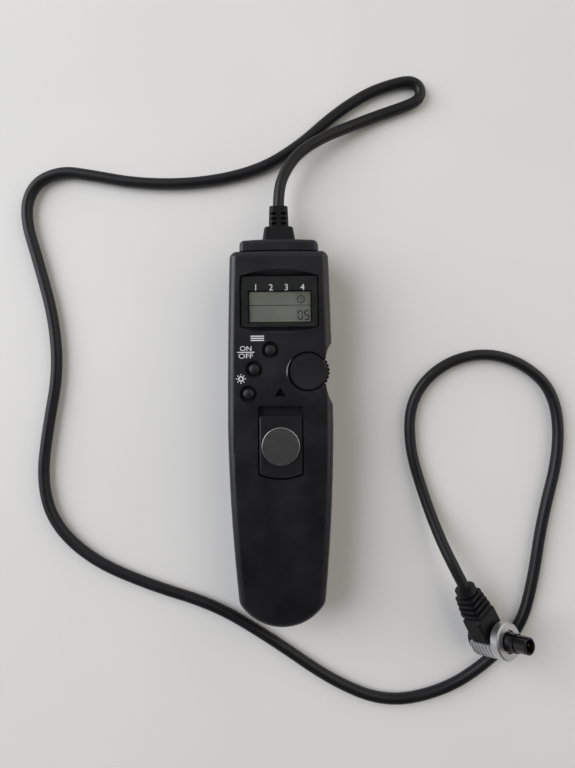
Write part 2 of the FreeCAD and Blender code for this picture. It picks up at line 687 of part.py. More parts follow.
def plain(label, shape):
    """A piece whose shape is worked out below from the sheet's sizes."""
    piece = document.addObject("Part::Feature", label)
    piece.Label = label
    piece.Shape = shape
    parts.append(piece)
    return piece


SCREW_PLACES = [
    ("screw_upper_x", "screw_upper_y"),
    ("0 - screw_upper_x", "screw_upper_y"),
    ("screw_middle_x", "screw_middle_y"),
    ("0 - screw_middle_x", "screw_middle_y"),
    ("0", "screw_foot_y"),
]
POST_PLACES = [
    ("0 - board_half + post_radius", "hip_place"),
    ("board_half - post_radius", "board_bottom + post_radius + post_inset"),
    ("post_radius - board_half", "board_bottom + post_radius + post_inset"),
]
BUTTON_PLACES = {
    "mode": ("mode_x", "mode_y"),
    "start_stop": ("start_x", "start_y"),
    "light": ("light_x", "light_y"),
}


def shell_outline(sketch, inset):
    """The handset's outline, or the same outline inside its wall."""
    def half(name):
        return "%s - %s" % (name, inset)

    def mirror(name):
        return "%s - %s" % (inset, name)

    top = "shell_top - " + inset
    corners = [
        (mirror("foot_half"), "foot_place"),
        (half("foot_half"), "foot_place"),
        (half("waist_half"), "waist_place"),
        (half("shoulder_half"), "shoulder_place - " + inset),
        (mirror("shoulder_half"), "shoulder_place - " + inset),
        (mirror("waist_half"), "waist_place"),
    ]
    through = {
        0: ("0", inset + " - half_length"),
        1: (half("thigh_half"), "thigh_place"),
        2: (half("hip_half"), "hip_place"),
        3: ("0", top),
        4: (mirror("hip_half"), "hip_place"),
        5: (mirror("thigh_half"), "thigh_place"),
    }
    draw_path(sketch, corners, through)


def draw_notch(sketch):
    """The finger notch beside the dial, from its flat out past the casing's side."""
    low = "notch_flat_low - notch_lower_run"
    high = "notch_flat_top + notch_upper_run"
    outside = "max(waist_half; hip_half) + beyond"
    draw_path(sketch, [
        ("notch_flat", "notch_flat_low"),
        ("waist_half", low),
        (outside, low),
        (outside, high),
        ("waist_half - notch_upper_in", high),
        ("notch_flat", "notch_flat_top"),
    ], {
        0: ("notch_flat + notch_lower_bow", "notch_flat_low - notch_lower_run / 2"),
        4: ("notch_flat + notch_upper_bow", "notch_flat_top + notch_upper_run / 2"),
    })


def add_notch_wall(body, start, length):
    """The wall behind the finger notch. It goes in before the notch is cut."""
    wall = new_sketch(body, start)
    low = "notch_flat_low - notch_lower_run - notch_ends"
    high = "notch_flat_top + notch_upper_run + notch_ends"
    draw_path(wall, [
        ("notch_flat - notch_wall", "notch_flat_low - notch_ends"),
        ("waist_half - wall + notch_root", low),
        ("hip_half - wall + notch_root", high),
        ("notch_flat - notch_wall", "notch_flat_top + notch_ends"),
    ])
    pad(body, wall, length)


def add_circles(body, places, radius, start, length, cut=False, back=False):
    """The same round pad or hole at several places."""
    sketch = new_sketch(body, start)
    for x, y in places:
        draw_circle(sketch, x, y, radius)
    make = pocket if cut else pad
    make(body, sketch, length, back)


def hollow_shell(body, start, length, back):
    """Cut the room inside a shell, leaving a wall behind the finger notch."""
    sketch = new_sketch(body, start)
    shell_outline(sketch, "wall")
    pocket(body, sketch, length, back)


def make_front_shell():
    """Face, sides and the recesses for display, buttons, dial and release."""
    body = new_body("front_shell")
    outline = new_sketch(body, "seam_height")
    shell_outline(outline, "0")
    pad(body, outline, "body_height - seam_height")
    foot = number("foot_place")
    soften(body, lambda e: upright(e) and abs(e.BoundBox.YMin - foot) < 0.01, "foot_corner")
    soften(body, lambda e: upright(e) and e.BoundBox.YMin > number("shoulder_place") - 0.01,
           "shoulder_corner")
    soften(body, lambda e: level(e, number("body_height")), "face_round")
    hollow_shell(body, "seam_height", "face_under - seam_height", True)
    add_notch_wall(body, "seam_height", "face_under - seam_height + join")
    notch = new_sketch(body, "body_height")
    draw_notch(notch)
    pocket(body, notch, "body_height - seam_height")
    # bosses for the housing screws
    add_circles(body, SCREW_PLACES, "front_boss_radius", "seam_height",
                "face_under - seam_height + join")
    add_circles(body, SCREW_PLACES, "screw_radius", "seam_height",
                "screw_sunk + screw_head_tall + screw_long - seam_height + screw_room", True, True)
    # display recess, with a ledge round the opening and a scoop above and below it
    recess = new_sketch(body, "body_height")
    draw_window(recess, "0")
    pocket(body, recess, "window_depth")
    side = number("window_half")
    soften(body, lambda e: upright(e) and abs(abs(e.BoundBox.XMin) - side) < 0.01,
           "window_corner")
    cut_scoop(body, "window_side_top - join", "window_arch + join", "scoop_foot + join")
    cut_scoop(body, "window_low + join", "0 - window_arch_low - join", "0 - scoop_foot - join")
    view = new_sketch(body, "window_floor")
    draw_box(view, "view_shift - view_half", "view_shift + view_half", "view_bottom", "view_top")
    pocket(body, view, "wall")
    # buttons
    add_circles(body, BUTTON_PLACES.values(), "well_radius + well_wall", "well_under",
                "face_under - well_under + join")
    add_circles(body, BUTTON_PLACES.values(), "well_radius", "body_height", "well_deep", True)
    add_circles(body, BUTTON_PLACES.values(), "button_radius + button_gap",
                "body_height - well_deep", "well_floor", True)
    # dial: a round hole in the face, open to the notch, and room for the rim in the wall
    face = new_sketch(body, "body_height")
    draw_circle(face, "dial_x - dial_hole_shift", "dial_y", "dial_hole")
    pocket(body, face, "wall")
    gap = new_sketch(body, "body_height")
    draw_box(gap, "notch_flat - dial_mouth", "waist_half + beyond", "notch_flat_low + join",
             "notch_flat_top - dial_mouth_trim")
    pocket(body, gap, "wall")
    rim = new_sketch(body, "face_under + join / 2")
    draw_box(rim, "notch_flat - notch_wall - rim_slot_in", "waist_half + beyond",
             "dial_y - dial_rim_radius + rim_slot_trim", "dial_y + dial_rim_radius - rim_slot_trim")
    pocket(body, rim, "face_under - code_low + run_gap")
    # release: a tray hangs under the face, with a slot for the stem and rails for the lock
    tray = new_sketch(body, "tray_low")
    draw_box(tray, "0 - recess_half - tray_wall", "recess_half + tray_wall",
             "recess_low - tray_wall", "recess_top + tray_wall")
    pad(body, tray, "face_under - tray_low + join")
    for side in (1, -1):
        near = "%d * (lock_half + run_gap)" % side
        far = "%d * (lock_half + run_gap + rail_wide)" % side
        lip = "%d * (lock_half - rail_lip)" % side
        rail = new_sketch(body, "0 - (disc_place + lock_reach + lock_travel)", "XZ_Plane")
        draw_path(rail, [
            (near, "tray_low + join"),
            (near, "lock_low - run_gap"),
            (lip, "lock_low - run_gap"),
            (lip, "lock_low - run_gap - rail_lip"),
            (far, "lock_low - run_gap - rail_lip"),
            (far, "tray_low + join"),
        ])
        pad(body, rail, "2 * lock_reach + lock_travel + rail_wide")
    recess = new_sketch(body, "body_height")
    draw_recess(recess, "0", "recess_top")
    pocket(body, recess, "body_height - tray_floor")
    wide = number("recess_half")
    soften(body, lambda e: upright(e) and abs(abs(e.BoundBox.XMin) - wide) < 0.01
           and e.BoundBox.ZMax > number("body_height") - 0.01, "recess_corner")
    slot = new_sketch(body, "tray_floor")
    reach = "stem_radius + run_gap"
    draw_path(slot, [
        ("0 - (%s)" % reach, "disc_place"),
        (reach, "disc_place"),
        (reach, "disc_place + lock_travel"),
        ("0 - (%s)" % reach, "disc_place + lock_travel"),
    ], {
        0: ("0", "disc_place - (%s)" % reach),
        2: ("0", "disc_place + lock_travel + (%s)" % reach),
    })
    pocket(body, slot, "tray_thick")
    # engraved arrow that shows which way locks
    arrow = new_sketch(body, "body_height")
    draw_path(arrow, [
        ("0 - arrow_half", "arrow_low"),
        ("arrow_half", "arrow_low"),
        ("0", "arrow_low + arrow_tall"),
    ])
    pocket(body, arrow, "arrow_deep")
    # upper half of the opening for the cap's neck
    end = new_sketch(body, "seam_height")
    draw_neck_opening(end)
    pocket(body, end, "neck_high + seam_gap - seam_height", True)


def draw_neck_opening(sketch):
    """Where the cap's neck passes the shells' end wall."""
    draw_box(sketch, "0 - neck_half - seam_gap", "neck_half + seam_gap",
             "shell_top - wall - beyond", "shell_top + beyond")


def draw_window(sketch, gap):
    """The display recess's outline, or the cover's inside it."""
    side = "window_half - " + gap
    draw_box(sketch, "0 - (%s)" % side, side, "window_low + " + gap, "window_side_top - " + gap)


def cut_scoop(body, edge, rise, rise_below):
    """A crescent that slopes from the face down to one edge of the display recess."""
    sections = []
    for height, bow in (("body_height", rise), ("window_floor", rise_below)):
        sketch = new_sketch(body, height)
        draw_path(sketch, [("window_corner - window_half", edge),
                           ("window_half - window_corner", edge)],
                  {0: ("0", "%s + (%s)" % (edge, bow))})
        sections.append(sketch)
    before = body.Shape.Volume
    made = body.newObject("PartDesign::SubtractiveLoft", body.Label + "_scoop")
    made.Profile = sections[0]
    made.Sections = sections[1:]
    made.Ruled = True
    body.Tip = made
    document.recompute()
    if body.Shape.Volume >= before:
        raise RuntimeError("scoop of %s cut nothing" % body.Label)


def draw_recess(sketch, gap, top):
    """The release recess's outline, or the plate's inside it."""
    side = "recess_half - " + gap
    draw_path(sketch, [
        ("0 - (%s)" % side, "recess_low + recess_arc + " + gap),
        (side, "recess_low + recess_arc + " + gap),
        (side, top),
        ("0 - (%s)" % side, top),
    ], {0: ("0", "recess_low + " + gap)})


def make_rear_shell():
    """Back and lower sides, with the battery compartment, bosses and board posts."""
    body = new_body("rear_shell")
    outline = new_sketch(body)
    shell_outline(outline, "0")
    pad(body, outline, "seam_height")
    foot = number("foot_place")
    soften(body, lambda e: upright(e) and abs(e.BoundBox.YMin - foot) < 0.01, "foot_corner")
    soften(body, lambda e: upright(e) and e.BoundBox.YMin > number("shoulder_place") - 0.01,
           "shoulder_corner")
    soften(body, lambda e: level(e, 0.0), "back_round")
    hollow_shell(body, "wall", "seam_height - wall", True)
    add_notch_wall(body, "wall - join", "seam_height - wall + join")
    notch = new_sketch(body, "seam_height")
    draw_notch(notch)
    pocket(body, notch, "seam_height")
    # bosses with sunk wells for the screw heads
    add_circles(body, SCREW_PLACES, "boss_radius", "wall - join", "seam_height - wall + join")
    add_circles(body, SCREW_PLACES, "screw_well", "0", "screw_sunk + screw_head_tall", True, True)
    add_circles(body, SCREW_PLACES, "screw_pass", "0", "seam_height", True, True)
    add_circles(body, POST_PLACES, "post_radius", "wall - join", "board_low - wall + join")
    add_circles(body, POST_PLACES, "board_screw_radius", "board_low",
                "board_screw_long - board_thick", True)
    # battery compartment: a raised block, the cell's round room and the cover's recess
    house = new_sketch(body, "wall - join")
    draw_box(house, "0 - cover_half - house_side", "cover_half + house_side",
             "cover_lower - house_foot", "cover_upper + house_head")
    pad(body, house, "roof_top - wall + join")
    recess = new_sketch(body)
    draw_cover(recess, "0")
    pocket(body, recess, "cover_deep", True)
    room = new_sketch(body, "cover_deep")
    draw_circle(room, "0", "cell_place", "cell_radius + cell_gap")
    pocket(body, room, "roof_low - cover_deep", True)
    add_circles(body, [("0", "cover_screw_y")], "screw_radius", "cover_deep",
                "cover_inset + cover_screw_sunk + cover_screw_long - cover_deep + join", True, True)
    strap = new_sketch(body, "roof_low")
    draw_box(strap, "0 - strap_half - strap_room", "strap_half + strap_room",
             "strap_rise - strap_room", "strap_rise + strap_thick + strap_room")
    pocket(body, strap, "roof_thick", True)
    side = new_sketch(body, "cover_deep")
    draw_box(side, "side_contact_x - strap_half - strap_room",
             "side_contact_x + strap_half + strap_room", "side_rise - side_room",
             "side_rise + strap_thick + strap_room")
    pocket(body, side, "roof_top - cover_deep", True)
    end = new_sketch(body, "seam_height")
    draw_neck_opening(end)
    pocket(body, end, "seam_height - neck_low + seam_gap")


def draw_cover(sketch, gap):
    """The battery cover's outline with rounded corners."""
    side = "cover_half - " + gap
    low = "cover_lower + " + gap
    high = "cover_upper - " + gap
    turn = "(1 - sqrt(0.5)) * cover_corner"
    draw_path(sketch, [
        ("cover_corner - (%s)" % side, low),
        ("%s - cover_corner" % side, low),
        (side, "%s + cover_corner" % low),
        (side, "%s - cover_corner" % high),
        ("%s - cover_corner" % side, high),
        ("cover_corner - (%s)" % side, high),
        ("0 - (%s)" % side, "%s - cover_corner" % high),
        ("0 - (%s)" % side, "%s + cover_corner" % low),
    ], {
        1: ("%s - %s" % (side, turn), "%s + %s" % (low, turn)),
        3: ("%s - %s" % (side, turn), "%s - %s" % (high, turn)),
        5: ("%s - (%s)" % (turn, side), "%s - %s" % (high, turn)),
        7: ("%s - (%s)" % (turn, side), "%s + %s" % (low, turn)),
    })


def make_top_cap():
    """The moulded cap that closes the cable end, with a neck and flange between the shells."""
    body = new_body("top_cap")
    outer = new_sketch(body, "cap_inset")
    seam = "shell_top + seam_gap"
    # the seam follows the shells' end arc, which falls with the square of the width
    fall = "shoulder_drop * (cap_half / shoulder_half)^2"
    draw_path(outer, [
        ("0 - cap_half", "%s - %s" % (seam, fall)),
        ("cap_half", "%s - %s" % (seam, fall)),
        ("cap_half", "half_length - cap_arc"),
        ("0 - cap_half", "half_length - cap_arc"),
    ], {0: ("0", seam), 2: ("0", "half_length")})
    pad(body, outer, "body_height - 2 * cap_inset")
    far = number("half_length - cap_arc")
    soften(body, lambda e: upright(e) and e.BoundBox.YMin > far - 0.01, "cap_corner")
    high = number("body_height - cap_inset")
    low = number("cap_inset")
    near = number("shell_top + seam_gap") + 0.01
    soften(body, lambda e: (level(e, high) or level(e, low)) and e.BoundBox.YMax > near,
           "cap_round")
    neck = new_sketch(body, "neck_low")
    draw_box(neck, "0 - neck_half", "neck_half", "flange_back", "shell_top + beyond")
    pad(body, neck, "neck_high - neck_low")
    flange = new_sketch(body, "neck_low - flange_lip")
    draw_box(flange, "0 - flange_half", "flange_half", "flange_back", "flange_front")
    pad(body, flange, "neck_high - neck_low + 2 * flange_lip")
    bore = new_sketch(body, "0 - half_length - beyond", "XZ_Plane")
    draw_circle(bore, "0", "cable_height", "relief_stem + relief_fit")
    pocket(body, bore, "half_length", True)


def make_strain_relief():
    """Moulded strain relief: a stem through the cap, a wide foot and a slotted neck."""
    body = new_body("strain_relief")
    foot = new_sketch(body, "cable_height - relief_base_half_tall")
    draw_path(foot, [
        ("0 - relief_base_half", "relief_root"),
        ("relief_base_half", "relief_root"),
        ("relief_base_half - relief_taper", "relief_step"),
        ("relief_taper - relief_base_half", "relief_step"),
    ])
    pad(body, foot, "2 * relief_base_half_tall")
    root = number("relief_root")
    soften(body, lambda e: e.BoundBox.YMax > root + 0.01, "relief_base_round")
    neck = new_sketch(body, "cable_height - relief_neck_half_tall")
    draw_path(neck, [
        ("0 - relief_neck_half", "relief_step - beyond"),
        ("relief_neck_half", "relief_step - beyond"),
        ("relief_neck_half - relief_neck_taper", "relief_end"),
        ("relief_neck_taper - relief_neck_half", "relief_end"),
    ])
    pad(body, neck, "2 * relief_neck_half_tall")
    step = number("relief_step")
    long = number("relief_neck_long / 2")
    soften(body, lambda e: e.BoundBox.YMax > step + long and e.BoundBox.YLength > long,
           "relief_neck_round")
    stem = new_sketch(body, "0 - relief_root - join", "XZ_Plane")
    draw_circle(stem, "0", "cable_height", "relief_stem")
    pad(body, stem, "relief_root + join - relief_back")
    flange = new_sketch(body, "0 - relief_back - relief_flange_thick", "XZ_Plane")
    draw_circle(flange, "0", "cable_height", "relief_flange")
    pad(body, flange, "relief_flange_thick")
    for side in (1, -1):
        for face in (1, -1):
            start = "cable_height + %d * relief_neck_half_tall" % face
            slots = new_sketch(body, start)
            for row in range(3):
                middle = "relief_step + slot_first + %d * slot_pitch" % row
                inner = "%d * slot_inner" % side
                outer = "%d * (slot_inner + slot_long)" % side
                left, right = sorted((inner, outer), key=number)
                draw_box(slots, left, right, middle + " - slot_wide / 2",
                         middle + " + slot_wide / 2")
            pocket(body, slots, "slot_deep", face < 0)


def make_display():
    """Clear cover, display panel, its holder, the lighting plate and the contact strips."""
    cover = new_body("display_window")
    sketch = new_sketch(cover, "window_floor")
    draw_window(sketch, "seam_gap")
    pad(cover, sketch, "window_thick")
    soften(cover, upright, "window_corner")
    block("lcd_panel", "panel_left", "panel_right", "panel_bottom", "panel_upper",
          "panel_low", "panel_top")
    holder = block("lcd_holder", "panel_left - holder_lip", "panel_right + holder_lip",
                   "panel_bottom - holder_lip", "panel_upper + holder_lip",
                   "board_face", "panel_low")
    upper = new_sketch(holder, "panel_low")
    draw_box(upper, "light_left", "light_right", "light_bottom", "light_upper")
    pocket(holder, upper, "light_thick + light_margin")
    lower = new_sketch(holder, "panel_low")
    draw_box(lower, "light_left + light_ledge", "light_right - light_ledge",
             "light_bottom + light_ledge", "light_upper - light_ledge")
    pocket(holder, lower, "panel_low - board_face")
    for low in ("strip_lower", "strip_upper"):
        slot = new_sketch(holder, "panel_low")
        draw_box(slot, "panel_left + strip_ends", "panel_right - strip_ends", low,
                 low + " + strip_width")
        pocket(holder, slot, "panel_low - board_face")
    block("backlight_plate", "light_left + light_margin", "light_right - light_margin",
          "light_bottom + light_margin", "light_upper - light_margin",
          "panel_low - light_margin - light_thick", "panel_low - light_margin")
    strips = []
    for low in ("strip_lower", "strip_upper"):
        strips.append(Part.makeBox(
            number("panel_right - panel_left - 2 * strip_ends"), number("strip_width"),
            number("panel_low - board_face"),
            Vector(number("panel_left + strip_ends"), number(low), number("board_face"))))
    plain("contact_strips", Part.makeCompound(strips))


def make_board():
    """Circuit board, its chip, crystal and screws."""
    board = block("main_board", "0 - board_half", "board_half", "board_bottom", "board_top",
                  "board_low", "board_face")
    add_circles(board, POST_PLACES, "board_screw_radius", "board_face", "board_thick", True)
    block("controller_chip", "0 - chip_side / 2", "chip_side / 2", "chip_place - chip_side / 2",
          "chip_place + chip_side / 2", "board_low - chip_thick", "board_low")
    crystal = new_body("timing_crystal")
    sketch = new_sketch(crystal, "0 - crystal_place - crystal_long / 2", "XZ_Plane")
    draw_circle(sketch, "board_half - crystal_side", "board_low - crystal_radius",
                "crystal_radius")
    pad(crystal, sketch, "crystal_long")
    screws = [make_screw("board_screw_head", "board_screw_head_tall", "board_screw_radius",
                         "board_screw_long", x, y, "board_face", -1) for x, y in POST_PLACES]
    plain("board_screws", Part.makeCompound(screws))


def make_screw(head, head_tall, shank, long, x, y, seat, way):
    """One screw, head and shank. way is 1 when its shank points up, -1 when it points down."""
    along = Vector(0, 0, way)
    base = Vector(number(x), number(y), number(seat))
    top = base - along * number(head_tall)
    solid = Part.makeCylinder(number(head), number(head_tall), top, along)
    solid = solid.fuse(Part.makeCylinder(number(shank), number(long), base, along))
    return solid.Solids[0]


def make_buttons():
    """Three press buttons, each on a snap dome."""
    for name, (x, y) in BUTTON_PLACES.items():
        button = new_body(name + "_button")
        tip = "board_face + snap_tall + rest_gap"
        edge = "body_height - button_below - button_dome"
        revolve(button, [
            ("0", tip),
            ("button_pin", tip),
            ("button_pin", "flange_top - button_flange_thick"),
            ("button_flange", "flange_top - button_flange_thick"),
            ("button_flange", "flange_top"),
            ("button_radius", "flange_top"),
            ("button_radius", edge),
            ("0", edge + " + button_dome"),
        ], {6: crown("button_radius", edge, "button_dome")})
        dome = new_body(name + "_dome")
        top = "board_face + snap_tall"
        inner = "snap_radius - snap_foot"
        revolve(dome, [
            (inner, "board_face"),
            ("snap_radius", "board_face"),
            ("snap_flat", top),
            ("0", top),
            ("0", top + " - snap_thick"),
            ("snap_flat", top + " - snap_thick"),
        ])
        for piece in (button, dome):
            piece.setExpression("Placement.Base.x", bound(x))
            piece.setExpression("Placement.Base.y", bound(y))


def make_dial():
    """Toothed dial on an axle in a carrier that presses in against a leaf spring."""
    wheel = new_body("dial_wheel")
    revolve(wheel, [
        ("axle_radius + axle_fit", "rim_low"),
        ("dial_rim_radius", "rim_low"),
        ("dial_rim_radius", "rim_top"),
        ("dial_top_radius", "rim_top"),
        ("dial_top_radius", "dial_top - dial_chamfer"),
        ("dial_top_radius - dial_chamfer", "dial_top"),
        ("0", "dial_top"),
        ("0", "axle_top + axle_room"),
        ("axle_radius + axle_fit", "axle_top + axle_room"),
    ])
    groove = new_sketch(wheel, "rim_top")
    draw_path(groove, [
        ("dial_rim_radius + 2 * join", "0 - dial_groove / 2 - join"),
        ("dial_rim_radius + 2 * join", "dial_groove / 2 + join"),
        ("dial_rim_radius - dial_groove_deep", "join"),
        ("dial_rim_radius - dial_groove_deep", "0 - join"),
    ])
    cut = pocket(wheel, groove, "dial_rim_tall")
    ring = wheel.newObject("PartDesign::PolarPattern", "dial_wheel_grooves")
    ring.Originals = [cut]
    ring.Axis = (groove, ["N_Axis"])
    ring.Angle = 360
    ring.setExpression("Occurrences", bound("dial_teeth"))
    wheel.Tip = ring
    document.recompute()
    code = new_body("encoder_disc")
    revolve(code, [
        ("code_bore", "code_low"),
        ("code_radius", "code_low"),
        ("code_radius", "rim_low"),
        ("code_bore", "rim_low"),
    ])
    axle = new_body("dial_axle")
    revolve(axle, [("0", "carrier_low"), ("axle_radius", "carrier_low"),
                   ("axle_radius", "axle_top"), ("0", "axle_top")])
    for piece in (wheel, code, axle):
        piece.setExpression("Placement.Base.x", bound("dial_x"))
        piece.setExpression("Placement.Base.y", bound("dial_y"))
    carrier = block("dial_carrier", "dial_x - carrier_left", "dial_x + carrier_right",
                    "dial_y - carrier_half", "dial_y + carrier_half", "carrier_low",
                    "carrier_top")
    soften(carrier, upright, "carrier_corner")
    bore = new_sketch(carrier, "carrier_top")
    draw_circle(bore, "dial_x", "dial_y", "axle_radius")
    pocket(carrier, bore, "carrier_thick")
    wiper = new_body("encoder_wiper")
    fingers = new_sketch(wiper, "carrier_top")
    left = "dial_x - carrier_left + wiper_inset"
    draw_path(fingers, [
        (left, "dial_y - 1.5 * wiper_wide"),
        (left + " + wiper_long", "dial_y - 1.5 * wiper_wide"),
        (left + " + wiper_long", "dial_y - wiper_wide / 2"),
        (left + " + wiper_wide", "dial_y - wiper_wide / 2"),
        (left + " + wiper_wide", "dial_y + wiper_wide / 2"),
        (left + " + wiper_long", "dial_y + wiper_wide / 2"),
        (left + " + wiper_long", "dial_y + 1.5 * wiper_wide"),
        (left, "dial_y + 1.5 * wiper_wide"),
    ])
    pad(wiper, fingers, "wiper_thick")
    spring = new_body("dial_spring")
    sketch = new_sketch(spring, "0 - dial_y - leaf_low", "XZ_Plane")
    face = "dial_x - carrier_left - run_gap"
    draw_path(sketch, [
        (face + " - leaf_foot", "board_face"),
        (face, "board_face"),
        (face, "carrier_top"),
        (face + " - leaf_thick", "carrier_top"),
        (face + " - leaf_thick", "board_face + leaf_thick"),
        (face + " - leaf_foot", "board_face + leaf_thick"),
    ])
    pad(spring, sketch, "leaf_wide", True)
    switch_right = "dial_x - carrier_left - dial_travel - run_gap"
    block("dial_press_switch", switch_right + " - press_switch_side", switch_right,
          "dial_y - leaf_low - press_switch_side", "dial_y - leaf_low", "board_face",
          "board_face + press_switch_tall")


def make_release():
    """Release plate with its metal disc, the lock slider and the contact leaves."""
    plate = new_body("release_plate")
    sketch = new_sketch(plate, "plate_low")
    draw_recess(sketch, "plate_gap", "plate_edge")
    pad(plate, sketch, "plate_top - plate_low")
    foot = number("disc_place")
    soften(plate, lambda e: upright(e) and e.BoundBox.YMin < foot, "recess_corner")
    top = number("plate_top")
    soften(plate, lambda e: level(e, top), "plate_edge_chamfer", "Chamfer")
    stem = new_sketch(plate, "plate_low + join")
    draw_circle(stem, "0", "disc_place", "stem_radius")
    pad(plate, stem, "plate_low + join - stem_low", True)
    metal = disc("release_disc", "0", "disc_place", "disc_radius", "plate_top",
                 "plate_top + disc_tall")
    rim = number("plate_top + disc_tall")
    soften(metal, lambda e: level(e, rim), "disc_chamfer", "Chamfer")
    slider = block("lock_slider", "0 - lock_half", "lock_half", "disc_place - lock_reach",
                   "disc_place + lock_reach", "lock_low", "lock_top")
    soften(slider, upright, "lock_corner")
    bore = new_sketch(slider, "lock_top")
    draw_circle(bore, "0", "disc_place", "stem_radius + run_gap")
    pocket(slider, bore, "lock_thick")
    holder = block("contact_block", "0 - block_half", "block_half", "block_near - block_long",
                   "block_near", "board_face", "board_face + block_tall")
    leaves = {
        "common_contact": "common_height",
        "half_press_contact": "half_height",
        "full_press_contact": "full_height",
    }
    slots = new_sketch(holder, "0 - block_near", "XZ_Plane")
    for height in leaves.values():
        low = "board_face + " + height
        draw_box(slots, "0 - leaf_half", "leaf_half", low, low + " + contact_thick")
    pocket(holder, slots, "block_long", True)
    for name, height in leaves.items():
        low = "board_face + " + height
        block(name, "0 - leaf_half", "leaf_half", "block_near - block_long", "leaf_far", low,
              low + " + contact_thick")


def make_battery():
    """Coin cell, its two contacts, the cover and the cover's screw."""
    disc("coin_cell", "0", "cell_place", "cell_radius", "cell_low", "cell_top")
    cell = parts[-1]
    edge = number("cell_top")
    soften(cell, lambda e: level(e, edge), "cell_edge", "Chamfer")
    cover = new_body("battery_cover")
    sketch = new_sketch(cover, "cover_inset")
    draw_cover(sketch, "seam_gap")
    pad(cover, sketch, "cover_face - cover_inset")
    rest = new_sketch(cover, "cover_face - join")
    draw_circle(rest, "0", "cell_place", "cover_rest_outer")
    draw_circle(rest, "0", "cell_place", "cover_rest_inner")
    pad(cover, rest, "cell_rest")
    place = [("0", "cover_screw_y")]
    add_circles(cover, place, "screw_well", "cover_inset", "cover_screw_sunk", True, True)
    add_circles(cover, place, "screw_pass", "cover_inset", "cover_face", True, True)
    screw = make_screw("cover_screw_head", "cover_screw_head_tall", "screw_radius",
                       "cover_screw_long", "0", "cover_screw_y",
                       "cover_inset + cover_screw_sunk", 1)
    plain("battery_cover_screw", screw)
    under = new_body("battery_contact_negative")
    outline = new_sketch(under, "0 - strap_half", "YZ_Plane")
    lower = "cell_top + contact_lift"
    draw_path(outline, [
        ("cell_place - strap_reach", lower),
        ("strap_rise + strap_thick", lower),
        ("strap_rise + strap_thick", "board_low - strap_thick"),
        ("board_bottom + strap_end", "board_low - strap_thick"),
        ("board_bottom + strap_end", "board_low"),
        ("strap_rise", "board_low"),
        ("strap_rise", lower + " + strap_thick"),
        ("cell_place - strap_reach", lower + " + strap_thick"),
    ])
    pad(under, outline, "2 * strap_half")
    side = new_body("battery_contact_positive")
    outline = new_sketch(side, "side_contact_x - strap_half", "YZ_Plane")
    draw_path(outline, [
        ("side_rise", "cell_low + side_lift"),
        ("side_rise + strap_thick", "cell_low + side_lift"),
        ("side_rise + strap_thick", "board_low - strap_thick"),
        ("board_bottom + strap_end", "board_low - strap_thick"),
        ("board_bottom + strap_end", "board_low"),
        ("side_rise", "board_low"),
    ])
    pad(side, outline, "2 * strap_half")


def make_housing_screws():
    """The screws that hold the two shells together."""
    seat = "screw_sunk + screw_head_tall"
    screws = [make_screw("screw_head", "screw_head_tall", "screw_radius", "screw_long", x, y,
                         seat, 1) for x, y in SCREW_PLACES]
    plain("housing_screws", Part.makeCompound(screws))


def make_cable_inside():
    """The cable's end inside the handset, its wires and their connector."""
    tail = new_body("cable_tail")
    sketch = new_sketch(tail, "0 - relief_back", "XZ_Plane")
    draw_circle(sketch, "0", "cable_height", "cable_radius")
    pad(tail, sketch, "tail_long")
    block("cable_connector", "0 - connector_half", "connector_half",
          "connector_place - connector_long", "connector_place",
          "board_low - connector_tall", "board_low")
    wires = []
    for place in (-1, 0, 1):
        start = Vector(place * number("lead_pitch"), number("tail_end - seam_gap"),
                       number("board_low - 1.2 * lead_radius"))
        end = Vector(place * 2 * number("lead_pitch"), number("connector_place + seam_gap"),
                     number("board_low - connector_tall / 2"))
        wires.append(Part.makeCylinder(number("lead_radius"), (end - start).Length, start,
                                       end - start))
    plain("cable_leads", Part.makeCompound(wires))


def plug_placement():
    """Where the plug lies: its axis is local Z, the boot's arm leaves along local Y."""
    tilt = number("plug_tilt")
    turn = FreeCAD.Rotation(Vector(0, 0, 1), number("plug_heading"))
    turn = turn.multiply(FreeCAD.Rotation(Vector(0, 1, 0), 90 - tilt))
    turn = turn.multiply(FreeCAD.Rotation(Vector(0, 0, 1), number("plug_roll")))
    lean = math.radians(tilt)
    height = number("floor_gap") + number("collar_long + body_tail") * math.sin(lean)
    height += number("body_radius") * math.cos(lean)
    return FreeCAD.Placement(Vector(number("plug_x"), number("plug_y"), height), turn)


